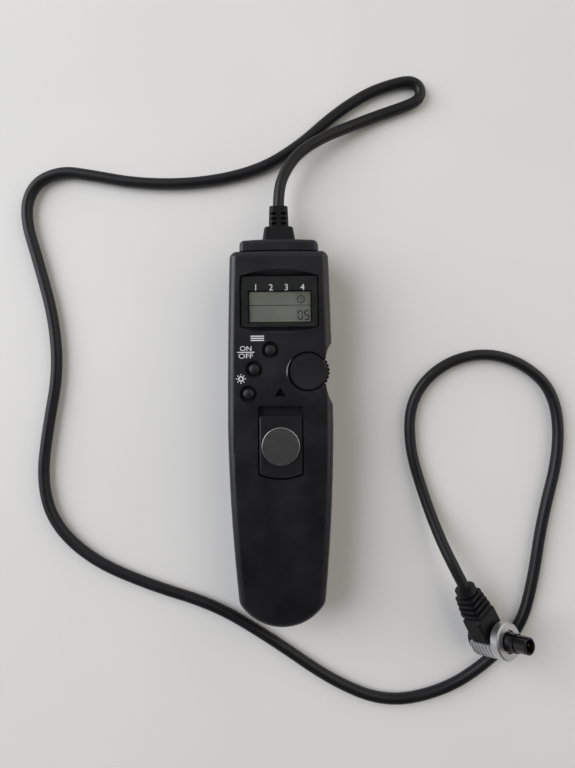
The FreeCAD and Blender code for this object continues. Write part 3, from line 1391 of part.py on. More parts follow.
def make_plug():
    """Angled boot, sliding metal collar, contact carrier with its post, sleeve, pins, spring."""
    place = plug_placement()
    boot = new_body("plug_boot")
    rear = "0 - collar_long - body_tail"
    sketch = new_sketch(boot, rear)
    draw_circle(sketch, "0", "0", "body_radius")
    pad(boot, sketch, "core_back + collar_long + body_tail")
    arm = new_sketch(boot, "0 - arm_base", "XZ_Plane")
    draw_box(arm, "0 - arm_half", "arm_half", "arm_front - arm_deep", "arm_front")
    pad(boot, arm, "arm_shoulder - arm_base", True)
    base = number("arm_base")
    shoulder = number("arm_shoulder")
    soften(boot, lambda e: e.BoundBox.YLength > 0.7 * (shoulder - base)
           and e.BoundBox.XLength < 0.001 and abs(abs(e.BoundBox.XMin)
                                                  - number("arm_half")) < 0.001, "arm_corner")
    soften(boot, lambda e: abs(e.BoundBox.YMin - shoulder) < 0.001
           and e.BoundBox.YLength < 0.001, "arm_chamfer", "Chamfer")
    core = new_sketch(boot, "join - arm_shoulder", "XZ_Plane")
    draw_circle(core, "0", "arm_middle", "arm_core")
    pad(boot, core, "arm_long - arm_shoulder + join", True)
    count = 0
    while number("rib_pitch") * (count + 1) < number("arm_long - arm_shoulder - end_rib_thick"):
        start = "arm_shoulder + %d * rib_pitch + rib_start" % count
        rib = new_sketch(boot, "0 - (%s)" % start, "XZ_Plane")
        half_wide = "arm_half - rib_step - %d * rib_shrink" % count
        half_deep = "arm_deep / 2 + rib_rise - %d * rib_shrink * rib_slim" % count
        draw_oval(rib, half_wide, half_deep)
        pad(boot, rib, "rib_thick", True)
        count += 1
    end = new_sketch(boot, "end_rib_thick - arm_long", "XZ_Plane")
    draw_circle(end, "0", "arm_middle", "end_rib_radius")
    pad(boot, end, "end_rib_thick", True)

    collar = new_body("plug_collar")
    outline = [
        ("collar_mouth", "0"),
        ("collar_radius - collar_chamfer", "0"),
        ("collar_radius", "0 - collar_chamfer"),
    ]
    bottom = "collar_radius - ridge_deep"
    for ridge in range(int(number("(collar_long - collar_ring) / ridge_pitch"))):
        start = "0 - collar_ring - %d * ridge_pitch - ridge_first" % ridge
        end = start + " - (ridge_pitch - ridge_top)"
        outline += [
            ("collar_radius", start),
            (bottom, start + " - ridge_slope"),
            (bottom, end + " + ridge_slope"),
            ("collar_radius", end),
        ]
    outline += [
        ("collar_radius", "0 - collar_long"),
        ("collar_inner", "0 - collar_long"),
        ("collar_inner", "0 - collar_front"),
        ("collar_mouth", "0 - collar_front"),
    ]
    revolve(collar, outline)
    window = new_sketch(collar, "0 - collar_ring")
    draw_box(window, "0 - collar_radius - beyond", "collar_radius + beyond", "collar_cut",
             "collar_radius + beyond")
    pocket(collar, window, "collar_long")

    carrier = new_body("plug_post")
    revolve(carrier, [
        ("0", "core_back"),
        ("core_flange", "core_back"),
        ("core_flange", "flange_end"),
        ("post_outer", "flange_end"),
        ("post_outer", "sleeve_front"),
        ("root_radius", "sleeve_front"),
        ("root_radius", "root_reach"),
        ("post_outer", "root_reach"),
        ("post_outer", "post_reach - post_edge"),
        ("post_outer - post_edge", "post_reach"),
        ("post_bore", "post_reach"),
        ("post_bore", "bore_floor"),
        ("0", "bore_floor"),
    ])
    key = new_sketch(carrier, "post_reach")
    draw_box(key, "0 - key_wide / 2", "key_wide / 2", "post_outer - key_deep",
             "root_radius + beyond")
    pocket(carrier, key, "post_reach - key_deep")
    sleeve = new_body("plug_sleeve")
    revolve(sleeve, [
        ("post_outer", "flange_end"),
        ("sleeve_outer", "flange_end"),
        ("sleeve_outer", "sleeve_front"),
        ("post_outer", "sleeve_front"),
    ])
    spring = new_body("collar_spring")
    revolve(spring, [
        ("spring_inner", "flange_end + spring_end_gap"),
        ("spring_outer", "flange_end + spring_end_gap"),
        ("spring_outer", "0 - collar_front - spring_end_gap"),
        ("spring_inner", "0 - collar_front - spring_end_gap"),
    ])
    pins = []
    for step in range(3):
        turn = math.radians(90 + 120 * step)
        centre = Vector(number("pin_circle") * math.cos(turn),
                        number("pin_circle") * math.sin(turn), number("bore_floor"))
        pins.append(Part.makeCylinder(number("pin_radius"), number("pin_long"), centre))
    pin_group = plain("plug_pins", Part.makeCompound(pins))
    for piece in (boot, collar, carrier, sleeve, spring, pin_group):
        piece.Placement = place
    return place


def draw_oval(sketch, half_wide, half_deep):
    """A rib's outline: straight sides with full round corners."""
    turn = "rib_corner"
    keep = "(1 - sqrt(0.5)) * rib_corner"
    left = "0 - (%s)" % half_wide
    low = "arm_middle - (%s)" % half_deep
    high = "arm_middle + (%s)" % half_deep
    draw_path(sketch, [
        ("%s + %s" % (left, turn), low),
        ("%s - %s" % (half_wide, turn), low),
        (half_wide, "%s + %s" % (low, turn)),
        (half_wide, "%s - %s" % (high, turn)),
        ("%s - %s" % (half_wide, turn), high),
        ("%s + %s" % (left, turn), high),
        (left, "%s - %s" % (high, turn)),
        (left, "%s + %s" % (low, turn)),
    ], {
        1: ("%s - %s" % (half_wide, keep), "%s + %s" % (low, keep)),
        3: ("%s - %s" % (half_wide, keep), "%s - %s" % (high, keep)),
        5: ("%s + %s" % (left, keep), "%s - %s" % (high, keep)),
        7: ("%s + %s" % (left, keep), "%s + %s" % (low, keep)),
    })


def regular_ring(centre, radius, sides):
    """A regular polygon, square to +Y, with one side flat underneath."""
    corners = []
    for step in range(sides + 1):
        turn = 2 * math.pi * (step + 0.5) / sides
        corners.append(centre + Vector(radius * math.sin(turn), 0, -radius * math.cos(turn)))
    return Part.makePolygon(corners)


def make_cable(place):
    """The cable's free length: straight runs joined by tangent arcs."""
    out = Vector(0, number("relief_end"), number("cable_height"))
    arm_end = place.multVec(Vector(0, number("arm_long"), number("arm_middle")))
    arm_way = place.Rotation.multVec(Vector(0, 1, 0))
    points = [out, out + Vector(0, LEAD_OUT, 0)]
    points += [Vector(*spot) for spot in CABLE_ROUTE]
    points += [arm_end + arm_way * LEAD_IN, arm_end]
    edges = []
    start = points[0]
    radii = []
    for before, corner, after in zip(points, points[1:], points[2:]):
        inward = (corner - before).normalize()
        outward = (after - corner).normalize()
        turn = inward.getAngle(outward)
        shorter = min((corner - before).Length, (after - corner).Length)
        radius = 0.45 * shorter / math.tan(turn / 2)
        radii.append(radius)
        setback = 0.45 * shorter
        first = corner - inward * setback
        last = corner + outward * setback
        bisector = (outward - inward).normalize()
        middle = corner + bisector * (radius / math.cos(turn / 2) - radius)
        edges.append(Part.LineSegment(start, first).toShape())
        edges.append(Part.Arc(first, middle, last).toShape())
        start = last
    edges.append(Part.LineSegment(start, points[-1]).toShape())
    path = Part.Wire(edges)
    ring = regular_ring(points[0], number("cable_radius"), int(number("cable_sides")))
    tube = path.makePipeShell([ring], True, False)
    ideal = Part.Face(ring).Area * path.Length
    print("cable length %.1f, radii %s" % (path.Length, [round(r, 1) for r in radii]))
    print("cable volume over section times length %.4f" % (tube.Volume / ideal))
    plain("cable", tube)


make_rear_shell()
make_front_shell()
make_top_cap()
make_strain_relief()
make_display()
make_board()
make_buttons()
make_dial()
make_release()
make_battery()
make_housing_screws()
make_cable_inside()
make_cable(make_plug())
document.recompute()

for item in document.Objects:
    if "Invalid" in item.State or "Error" in item.State:
        raise RuntimeError("%s failed: %s" % (item.Label, item.State))
os.makedirs("parts", exist_ok=True)
for part in parts:
    if part.Shape.isNull() or not part.Shape.isValid():
        raise RuntimeError(part.Label + " has no valid shape")
    part.Shape.exportStep("parts/%s.step" % part.Label)
print("pieces", len(parts))
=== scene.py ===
# %% [markdown]
# This is a handheld timer release for a camera: a satin black plastic handset with a small display,
# three round buttons, a side dial and a big release button, and a thin cable that ends in an angled
# plug with an aluminium collar. The solid pieces come from the frame and already have their real size
# and place. This script gives each of them its finish, adds what is printed or drawn on them, lays
# the cable, which is soft and so is a curve here, and puts a copy of each spring in its place.

import math

import bmesh
import bpy
from mathutils import Matrix, Vector


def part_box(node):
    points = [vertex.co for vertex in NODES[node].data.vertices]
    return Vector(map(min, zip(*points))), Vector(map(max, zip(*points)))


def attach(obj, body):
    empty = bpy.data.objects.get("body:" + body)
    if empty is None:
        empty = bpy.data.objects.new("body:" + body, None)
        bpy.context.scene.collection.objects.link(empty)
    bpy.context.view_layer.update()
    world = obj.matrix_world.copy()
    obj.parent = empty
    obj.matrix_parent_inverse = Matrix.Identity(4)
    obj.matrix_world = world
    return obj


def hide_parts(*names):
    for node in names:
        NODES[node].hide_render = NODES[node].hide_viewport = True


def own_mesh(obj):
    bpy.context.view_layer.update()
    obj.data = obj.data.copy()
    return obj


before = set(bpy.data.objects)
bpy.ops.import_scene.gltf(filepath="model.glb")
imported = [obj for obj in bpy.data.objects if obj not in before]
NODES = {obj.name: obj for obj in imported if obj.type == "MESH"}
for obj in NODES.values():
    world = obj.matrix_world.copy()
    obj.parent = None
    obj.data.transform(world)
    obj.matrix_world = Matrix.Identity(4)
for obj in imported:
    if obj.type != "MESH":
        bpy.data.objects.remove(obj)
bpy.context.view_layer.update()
MM = 0.001

# %% [markdown]
# The picture is taken from straight above, from 210 mm over the table, with a lens that sees about
# 69 degrees over the height of the frame. Such a short lens shows the handset's left and right sides
# slightly, and makes what stands higher look larger. A camera in Blender looks along its own -Z, so
# one with no tilt at all already looks straight down, and only its turn about Z has to be set.

# %% The camera
IMAGE_HEIGHT = 768
FOCAL_PIXELS = 560.0
CAMERA_PLACE = (2.52 * MM, 16.8 * MM, 210.0 * MM)
CAMERA_ROLL = math.radians(-0.637)
SENSOR_HEIGHT = 24.0
NEAREST_SEEN = 0.01

camera_data = bpy.data.cameras.new("overhead_camera")
camera_data.sensor_fit = "VERTICAL"
camera_data.sensor_height = SENSOR_HEIGHT
camera_data.lens = SENSOR_HEIGHT * FOCAL_PIXELS / IMAGE_HEIGHT
camera_data.clip_start = NEAREST_SEEN
camera = bpy.data.objects.new("overhead_camera", camera_data)
camera.location = CAMERA_PLACE
camera.rotation_euler = (0.0, 0.0, CAMERA_ROLL)
bpy.context.scene.collection.objects.link(camera)
bpy.context.scene.camera = camera
print("lens", round(camera_data.lens, 2), "mm on a", SENSOR_HEIGHT, "mm high sensor")

# %% [markdown]
# The cable is a curve with a round bevel. Its points are the handset's exit, the places where the
# cable lies on the table and the mouth of the plug's boot. They are control points: a NURBS line of
# order 3 runs close to them and rounds every corner, as a stiff, soft-skinned cable does. Simulating
# the cable would give a lie of its own, and here the lie is known, so the points are listed one by
# one. A curve's box takes each point's radius as metres, so the thickness is given there: the bevel
# is 1 m and each point scales it down to the cable's radius.

# %% The cable's route, in millimetres
CABLE_RADIUS = 2.0
LYING = CABLE_RADIUS
CABLE_HEIGHT = 9.5
LEAD_OUT = 6.8
relief_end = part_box("strain_relief")[1].y / MM
CABLE_EXIT = (0.0, relief_end, CABLE_HEIGHT)
CABLE_ROUTE = [
    CABLE_EXIT,
    (0.0, relief_end + LEAD_OUT, CABLE_HEIGHT),
    (2.8, 94.0, 8.4),
    (7.5, 100.5, 7.4),
    (15.8, 106.3, 5.9),
    (26.3, 111.4, 3.4),
    (35.7, 115.5, LYING),
    (45.7, 118.8, LYING),
    (51.8, 121.2, LYING),
    (53.4, 124.4, LYING),
    (52.0, 127.4, LYING),
    (48.4, 128.8, LYING),
    (41.3, 127.2, LYING),
    (32.3, 123.9, LYING),
    (20.3, 116.1, LYING),
    (7.4, 104.8, LYING),
    (-7.7, 96.0, LYING),
    (-29.0, 91.6, LYING),
    (-51.5, 91.7, LYING),
    (-69.8, 95.2, LYING),
    (-80.6, 96.8, LYING),
    (-91.0, 92.2, LYING),
    (-94.6, 80.8, LYING),
    (-88.9, 61.2, LYING),
    (-83.9, 41.6, LYING),
    (-82.6, 22.2, LYING),
    (-86.6, 1.5, LYING),
    (-89.1, -17.8, LYING),
    (-85.0, -33.9, LYING),
    (-71.1, -47.6, LYING),
    (-49.5, -57.2, LYING),
    (-25.2, -64.9, LYING),
    (-4.4, -77.7, LYING),
    (18.5, -94.0, LYING),
    (38.5, -101.9, LYING),
    (59.6, -97.5, LYING),
    (75.5, -87.4, LYING),
    (88.1, -74.4, LYING),
    (92.9, -56.9, LYING),
    (96.4, -34.6, LYING),
    (103.4, -8.7, LYING),
    (101.8, 12.2, LYING),
    (90.4, 23.6, LYING),
    (74.9, 28.0, LYING),
    (59.0, 23.2, LYING),
    (48.2, 10.8, LYING),
    (47.3, -6.7, LYING),
    (52.6, -25.5, 2.6),
    (57.5, -40.5, 6.6),
]
# The plug lies at a slant, so the cable's last two points come from its angles and sizes.
PLUG_FRONT = (79.1, -74.1)
PLUG_TILT = math.radians(56.0)
PLUG_HEADING = math.radians(19.7)
PLUG_ROLL = math.radians(9.1)
COLLAR_LONG, BODY_TAIL, BODY_RADIUS, FLOOR_GAP = 12.3, 1.7, 5.2, 0.1
ARM_END = (0.0, 21.3, -8.2)
LEAD_IN = 7.0

plug_height = (FLOOR_GAP + (COLLAR_LONG + BODY_TAIL) * math.sin(PLUG_TILT)
               + BODY_RADIUS * math.cos(PLUG_TILT))
PLUG = (Matrix.Translation(Vector((*PLUG_FRONT, plug_height)) * MM)
        @ Matrix.Rotation(PLUG_HEADING, 4, "Z")
        @ Matrix.Rotation(math.pi / 2 - PLUG_TILT, 4, "Y")
        @ Matrix.Rotation(PLUG_ROLL, 4, "Z"))
boot_mouth = PLUG @ (Vector(ARM_END) * MM)
boot_before = PLUG @ (Vector((ARM_END[0], ARM_END[1] + LEAD_IN, ARM_END[2])) * MM)
print("route points", len(CABLE_ROUTE), "boot's mouth", [round(c / MM, 2) for c in boot_mouth])

# %% The cable as a curve
cable_points = [Vector(point) * MM for point in CABLE_ROUTE] + [boot_before, boot_mouth]
curve = bpy.data.curves.new("free_cable", "CURVE")
curve.dimensions = "3D"
curve.bevel_depth = 1.0
curve.bevel_resolution = 8
curve.resolution_u = 12
curve.use_fill_caps = True
spline = curve.splines.new("NURBS")
spline.points.add(len(cable_points) - 1)
for knot, place in zip(spline.points, cable_points):
    knot.co = (*place, 1.0)
    knot.radius = CABLE_RADIUS * MM
spline.order_u = 3
spline.use_endpoint_u = True
cable = bpy.data.objects.new("free_cable", curve)
bpy.context.scene.collection.objects.link(cable)
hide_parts("cable")
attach(cable, "casing")

# %% [markdown]
# Materials are built from nodes. Two small helpers do most of the work: one turns a colour as a
# designer writes it, in sRGB hex, into the linear numbers that a shader wants, and one adds a node
# with its settings and links.

# %% Colour and node helpers
def linear(hex_colour):
    """An sRGB hex colour as linear red, green, blue and alpha."""
    out = []
    for start in (1, 3, 5):
        value = int(hex_colour[start:start + 2], 16) / 255
        out.append(value / 12.92 if value <= 0.04045 else ((value + 0.055) / 1.055) ** 2.4)
    return (*out, 1.0)


def node(tree, kind, sockets=(), **settings):
    """Add a node. sockets maps an input's name or number to a value or another node's output."""
    made = tree.nodes.new(kind)
    for name, value in settings.items():
        setattr(made, name, value)
    for name, value in dict(sockets).items():
        if isinstance(value, bpy.types.NodeSocket):
            tree.links.new(value, made.inputs[name])
        else:
            made.inputs[name].default_value = value
    return made


def ramp(tree, source, low, high, dark, light):
    """Two colours over a stretch of a pattern's value."""
    made = node(tree, "ShaderNodeValToRGB", {"Fac": source})
    first, last = made.color_ramp.elements
    first.position, last.position = low, high
    first.color, last.color = dark, light
    return made.outputs["Color"]


def new_material(name, **principled):
    """A material whose constant values sit on the shader's own sockets."""
    material = bpy.data.materials.new(name)
    material.use_nodes = True
    tree = material.node_tree
    shader = tree.nodes["Principled BSDF"]
    for socket, value in principled.items():
        shader.inputs[socket.replace("_", " ")].default_value = value
    place = node(tree, "ShaderNodeTexCoord").outputs["Object"]
    print("material", name)
    return material, tree, shader, place


def per_mm(size):
    """A pattern's scale for a feature of that size in millimetres."""
    return 1.0 / (size * MM)


# %% [markdown]
# The casing is moulded ABS. The mould's inside is spark-eroded, which leaves a fine grain of about
# a quarter of a millimetre: the plastic then has a soft satin sheen and shows no sharp reflections.
# Fingers polish the high places over the years, so the roughness drifts slowly, and the black is
# never one even black. The same recipe, with other colours and grains, gives the other hard plastics.

# %% Moulded ABS and other hard plastics
PLASTIC_IOR = 1.53
DRIFT_MM = 14.0


def moulded_plastic(name, colour, second, roughness, grain_mm, grain_depth, wear=0.06,
                    shine=0.5):
    """Moulded plastic with an eroded grain and a slow drift of colour and polish."""
    material, tree, shader, place = new_material(name, IOR=PLASTIC_IOR, Specular_IOR_Level=shine)
    drift = node(tree, "ShaderNodeTexNoise", {"Vector": place, "Scale": per_mm(DRIFT_MM),
                                              "Detail": 3.0, "Roughness": 0.55})
    base = ramp(tree, drift.outputs["Fac"], 0.35, 0.7, linear(colour), linear(second))
    tree.links.new(base, shader.inputs["Base Color"])
    rough = node(tree, "ShaderNodeMapRange", {"Value": drift.outputs["Fac"], "From Min": 0.3,
                                              "From Max": 0.7, "To Min": roughness - wear,
                                              "To Max": roughness + wear})
    tree.links.new(rough.outputs["Result"], shader.inputs["Roughness"])
    grain = node(tree, "ShaderNodeTexNoise", {"Vector": place, "Scale": per_mm(grain_mm),
                                              "Detail": 2.0, "Roughness": 0.6})
    bump = node(tree, "ShaderNodeBump", {"Height": grain.outputs["Fac"], "Strength": 0.35,
                                         "Distance": grain_depth * MM})
    tree.links.new(bump.outputs["Normal"], shader.inputs["Normal"])
    return material


casing_abs = moulded_plastic("black_moulded_abs", "#0D0D11", "#131319", roughness=0.37,
                             grain_mm=0.28, grain_depth=0.02)
button_abs = moulded_plastic("smooth_black_abs", "#0E0E11", "#141418", roughness=0.46,
                             grain_mm=0.2, grain_depth=0.01, shine=0.36)
polished_abs = moulded_plastic("finger_polished_abs", "#0F0F12", "#16161A", roughness=0.22,
                               grain_mm=0.3, grain_depth=0.002, wear=0.04)
natural_abs = moulded_plastic("natural_moulded_abs", "#C9C7BE", "#D4D2CA", roughness=0.5,
                              grain_mm=0.4, grain_depth=0.02)
glossy_pbt = moulded_plastic("glossy_black_pbt", "#09090B", "#0F0F11", roughness=0.28,
                             grain_mm=0.3, grain_depth=0.005, wear=0.04)
# This black epoxy also paints the shade in the screws' cross recesses.
chip_epoxy_and_hollow_shade = moulded_plastic("black_epoxy_and_painted_hollow_shade", "#17171A", "#1F1F22", roughness=0.5,
                             grain_mm=0.15, grain_depth=0.01)

# %% [markdown]
# The cable's jacket and the boot are soft PVC, and the keypad's strips are silicone. They are a
# little duller than the casing, and a cable that has been wound up and used shows slight waviness
# and dull, dusty stretches along its length. Dust and skin grease also take away part of its mirror
# reflection, hence the lower shine.

# %% Soft PVC and silicone
cable_pvc = moulded_plastic("soft_black_pvc", "#0B0B0E", "#121216", roughness=0.44,
                            grain_mm=0.5, grain_depth=0.03, shine=0.34)
boot_pvc = moulded_plastic("moulded_black_pvc", "#0A0A0C", "#0F0F12", roughness=0.48,
                           grain_mm=0.35, grain_depth=0.03, shine=0.22)
wire_skin = moulded_plastic("grey_wire_skin", "#77777B", "#8A8A8D", roughness=0.4,
                            grain_mm=0.5, grain_depth=0.01)
silicone = moulded_plastic("black_silicone", "#2C2C2F", "#38383B", roughness=0.6,
                           grain_mm=0.4, grain_depth=0.02)

# %% [markdown]
# Metals keep the default IOR and are told apart by colour and roughness. The collar is turned
# aluminium, blasted and anodised, so it is satin and nearly white. The release disc is darker and
# brushed in one direction, and its turned edge is a lighter steel, which paints part of the edge's
# highlight. Plated brass and nickel are smooth and mirror more. One millimetre is the size of the
# fine lines before they are stretched.

# %% Metals
LINE_MM = 1.0
SCRATCH_DEPTH = 0.01
POLISH_DRIFT = 0.07


def metal(name, colour, second, roughness, streak):
    """A metal with a fine pattern. streak packs the pattern along X, Y and Z."""
    material, tree, shader, place = new_material(name, Metallic=1.0)
    stretched = node(tree, "ShaderNodeMapping", {"Vector": place, "Scale": streak})
    lines = node(tree, "ShaderNodeTexNoise", {"Vector": stretched.outputs["Vector"],
                                              "Scale": per_mm(LINE_MM), "Detail": 3.0})
    base = ramp(tree, lines.outputs["Fac"], 0.3, 0.75, linear(colour), linear(second))
    tree.links.new(base, shader.inputs["Base Color"])
    rough = node(tree, "ShaderNodeMapRange", {"Value": lines.outputs["Fac"],
                                              "To Min": roughness - POLISH_DRIFT,
                                              "To Max": roughness + POLISH_DRIFT})
    tree.links.new(rough.outputs["Result"], shader.inputs["Roughness"])
    bump = node(tree, "ShaderNodeBump", {"Height": lines.outputs["Fac"], "Strength": 0.2,
                                         "Distance": SCRATCH_DEPTH * MM})
    tree.links.new(bump.outputs["Normal"], shader.inputs["Normal"])
    return material


EVEN, BRUSHED, ROLLED = (4.0, 4.0, 4.0), (0.4, 8.0, 1.0), (6.0, 0.5, 1.0)
collar_aluminium = metal("satin_anodised_aluminium", "#C8C9CC", "#DEDEDF", roughness=0.36,
                         streak=(5.0, 5.0, 5.0))
nickel = metal("nickel_plate", "#C9C6BE", "#DEDBD2", roughness=0.16, streak=EVEN)
disc_steel = metal("dark_brushed_steel", "#646464", "#727273", roughness=0.42, streak=BRUSHED)
# The edge's lighter steel is partly a painted highlight on the disc's bevel.
rim_steel_with_painted_highlight = metal("turned_steel_edge_painted_highlight", "#B8B8B6", "#CECECC", roughness=0.30, streak=EVEN)
spring_steel = metal("rolled_spring_steel", "#9A9A98", "#B0B0AD", roughness=0.28, streak=ROLLED)
black_screw = metal("blackened_screw_steel", "#26262A", "#3A3A3D", roughness=0.38, streak=EVEN)
gold_brass = metal("gold_plated_brass", "#C79B4B", "#DDB765", roughness=0.25,
                   streak=(5.0, 0.6, 1.0))

# %% [markdown]
# The display has two layers. In front is a clear acrylic cover, a little smoky, so that the frame
# behind it looks nearly black. Behind it is the liquid crystal cell: grey-green, matt from its
# polariser film, with a faint cloudiness, and a pale line where the glass ends.

# %% Window and display cell
DUST_MM = 9.0


def clear_acrylic():
    """A thin smoky sheet that light passes through."""
    material, tree, shader, place = new_material("smoky_acrylic", IOR=1.49, Roughness=0.03,
                                                 Transmission_Weight=1.0)
    dust = node(tree, "ShaderNodeTexNoise", {"Vector": place, "Scale": per_mm(DUST_MM)})
    tint = ramp(tree, dust.outputs["Fac"], 0.3, 0.7, linear("#D6D8D5"), linear("#E0E2DF"))
    tree.links.new(tint, shader.inputs["Base Color"])
    return material


window_acrylic = clear_acrylic()
lcd_film = moulded_plastic("grey_green_polariser", "#C2C2B9", "#CCCCC3", roughness=0.40,
                           grain_mm=0.6, grain_depth=0.004)
cell_edge = moulded_plastic("pale_cell_edge", "#E2E2D8", "#ECECE4", roughness=0.3,
                            grain_mm=0.6, grain_depth=0.002)
lcd_ink = moulded_plastic("dark_crystal_segments", "#3A3D3E", "#434646", roughness=0.4,
                          grain_mm=0.6, grain_depth=0.002)
milky_acrylic = moulded_plastic("milky_acrylic", "#DDE3DC", "#E6EAE4", roughness=0.3,
                                grain_mm=0.6, grain_depth=0.005)

# %% [markdown]
# Inks are thin films of pigment in a resin, so they take the plastic's recipe with hardly any grain,
# and the arrow's floor takes it too. The white pad print is satin and slightly cold, the mask behind
# the window is a dark grey, and the arrow's near-black floor is dead matt, with nearly no mirror
# reflection.

# %% Inks and the arrow's floor
print_ink = moulded_plastic("white_pad_print", "#D9D9DC", "#E6E6E8", roughness=0.5,
                            grain_mm=0.2, grain_depth=0.004)
mask_ink = moulded_plastic("grey_screen_print", "#262628", "#2C2C2F", roughness=0.5,
                           grain_mm=0.2, grain_depth=0.002)
arrow_floor_black = moulded_plastic("near_black_arrow_floor", "#030304", "#060607", roughness=0.75,
                             grain_mm=0.3, grain_depth=0.01, shine=0.05)
board_mask = moulded_plastic("green_solder_mask", "#1E5B33", "#2A6B3E", roughness=0.3,
                             grain_mm=1.2, grain_depth=0.02)

# %% [markdown]
# Each node of the frame is one real piece, so the finishes are listed with the pieces that have
# them. The springs, domes and contacts are in the list too: their copies further down take the
# finish along.

# %% Every carried-over node gets its finish
FINISHES = {
    casing_abs: ["front_shell", "rear_shell", "top_cap", "battery_cover"],
    button_abs: ["mode_button", "start_stop_button", "light_button", "dial_wheel",
                 "release_plate"],
    natural_abs: ["lcd_holder", "lock_slider", "contact_block", "cable_connector",
                  "dial_carrier"],
    chip_epoxy_and_hollow_shade: ["controller_chip", "dial_press_switch"],
    glossy_pbt: ["plug_post"],
    milky_acrylic: ["backlight_plate"],
    cable_pvc: ["cable_tail", "cable"],
    boot_pvc: ["plug_boot", "strain_relief"],
    collar_aluminium: ["plug_collar"],
    nickel: ["plug_sleeve"],
    disc_steel: ["release_disc"],
    spring_steel: ["mode_dome", "start_stop_dome", "light_dome", "dial_spring", "collar_spring",
                   "dial_axle", "board_screws", "timing_crystal", "coin_cell"],
    black_screw: ["housing_screws", "battery_cover_screw"],
    gold_brass: ["battery_contact_negative", "battery_contact_positive", "encoder_disc",
                 "encoder_wiper", "common_contact", "half_press_contact", "full_press_contact",
                 "plug_pins"],
    window_acrylic: ["display_window"],
    lcd_film: ["lcd_panel"],
    board_mask: ["main_board"],
    silicone: ["contact_strips"],
    wire_skin: ["cable_leads"],
}
finished = set()
for material, names in FINISHES.items():
    for name in names:
        NODES[name].data.materials.clear()
        NODES[name].data.materials.append(material)
        finished.add(name)
cable.data.materials.append(cable_pvc)
print("finished", len(finished), "left", sorted(set(NODES) - finished))

# %% [markdown]
# The light marks on the casing are pad printed: a soft pad lays a film of white ink on the finished
# moulding. An image could carry them, but a thin plate of ink is a real piece with real edges, so it
# holds up in a close view. Each plate goes a little way into the surface, because two faces in one
# plane would flicker. All the marks are generic: plain numbers, ON and OFF, three lines for a list
# of choices, and a small sun for the light.

# %% A piece from a mesh, and bars along a row of sections
def add_piece(name, mesh, material, body):
    """Link a mesh as a piece that rides on a body."""
    mesh.materials.append(material)
    piece = bpy.data.objects.new(name, mesh)
    bpy.context.scene.collection.objects.link(piece)
    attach(piece, body)
    print("added", name, "on", body, "with", len(mesh.polygons), "faces")


def solid_bars(name, bars, material, body):
    """One piece of closed bars, each skinned over a row of like sections, in millimetres."""
    made = bmesh.new()
    for sections, closed in bars:
        rings = [[made.verts.new(Vector(corner) * MM) for corner in section]
                 for section in sections]
        for one, other in zip(rings, rings[1:] + rings[:1] if closed else rings[1:]):
            for side in range(len(one)):
                made.faces.new((one[side], one[side - 1], other[side - 1], other[side]))
        if not closed:
            made.faces.new(rings[0])
            made.faces.new(rings[-1])
    bmesh.ops.recalc_face_normals(made, faces=made.faces)
    mesh = bpy.data.meshes.new(name)
    made.to_mesh(mesh)
    made.free()
    add_piece(name, mesh, material, body)


# %% Lines, circles and thin plates
INK_HIGH, INK_DEEP = 0.02, 0.06
SHARPEST_MITRE = 0.3


def line(points, width, closed=False):
    """The two sides of a drawn line, which meet on the mitre at each corner."""
    pairs = []
    last = len(points) - 1
    for place, point in enumerate(points):
        here = Vector(point)
        before = Vector(points[place - 1]) if closed or place > 0 else here
        after = Vector(points[(place + 1) % len(points)]) if closed or place < last else here
        into, out = (here - before).normalized(), (after - here).normalized()
        along = (into + out).normalized()
        across = Vector((-along.y, along.x))
        lean = max(along.dot(out if out.length else into), SHARPEST_MITRE)
        pairs.append((here + across * width / 2 / lean, here - across * width / 2 / lean))
    return pairs, closed


def circle(centre, radius, count=24):
    """Points round a circle."""
    turns = [2 * math.pi * step / count for step in range(count)]
    return [(centre[0] + radius * math.cos(turn), centre[1] + radius * math.sin(turn))
            for turn in turns]


def thin_plate(name, strips, top, material, body):
    """Closed plates through pairs of points, in millimetres. top is the height of their face."""
    low = top - (INK_HIGH + INK_DEEP)
    bars = []
    for pairs, closed in strips:
        sections = [((*left, top), (*right, top), (*right, low), (*left, low))
                    for left, right in pairs]
        bars.append((sections, closed))
    solid_bars(name, bars, material, body)


# %% Printed letters and numbers
# An extrusion goes both ways, so half a unit makes letters one unit deep, which is scaled to the ink.
HALF_UNIT = 0.5


def printed_text(name, words, centre, tall, top, wide=None):
    """Letters as a thin plate of ink, fitted by their outline to a height, in millimetres."""
    letters = bpy.data.curves.new("letters", "FONT")
    letters.body = words
    letters.extrude = HALF_UNIT
    typeset = bpy.data.objects.new("letters", letters)
    mesh = bpy.data.meshes.new_from_object(typeset)
    mesh.name = name
    bpy.data.objects.remove(typeset)
    low = [min(vertex.co[axis] for vertex in mesh.vertices) for axis in range(3)]
    high = [max(vertex.co[axis] for vertex in mesh.vertices) for axis in range(3)]
    across = (wide or tall * (high[0] - low[0]) / (high[1] - low[1])) / (high[0] - low[0])
    up = tall / (high[1] - low[1])
    for vertex in mesh.vertices:
        x, y, z = vertex.co
        vertex.co = Vector((centre[0] + across * (x - (low[0] + high[0]) / 2),
                            centre[1] + up * (y - (low[1] + high[1]) / 2),
                            top + (INK_HIGH + INK_DEEP) * (z - high[2]))) * MM
    add_piece(name, mesh, print_ink, "casing")


# %% The printed marks
face_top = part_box("front_shell")[1].z / MM
window_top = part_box("display_window")[1].z / MM
ink_top = face_top + INK_HIGH

NUMBER_TALL, NUMBER_ROW, NUMBER_PLACES = 2.1, 49.9, (-7.98, -2.79, 2.47, 8.0)
for number, place in enumerate(NUMBER_PLACES, start=1):
    printed_text(f"window_number_{number}", str(number), (place, NUMBER_ROW), NUMBER_TALL,
                 window_top + INK_HIGH)

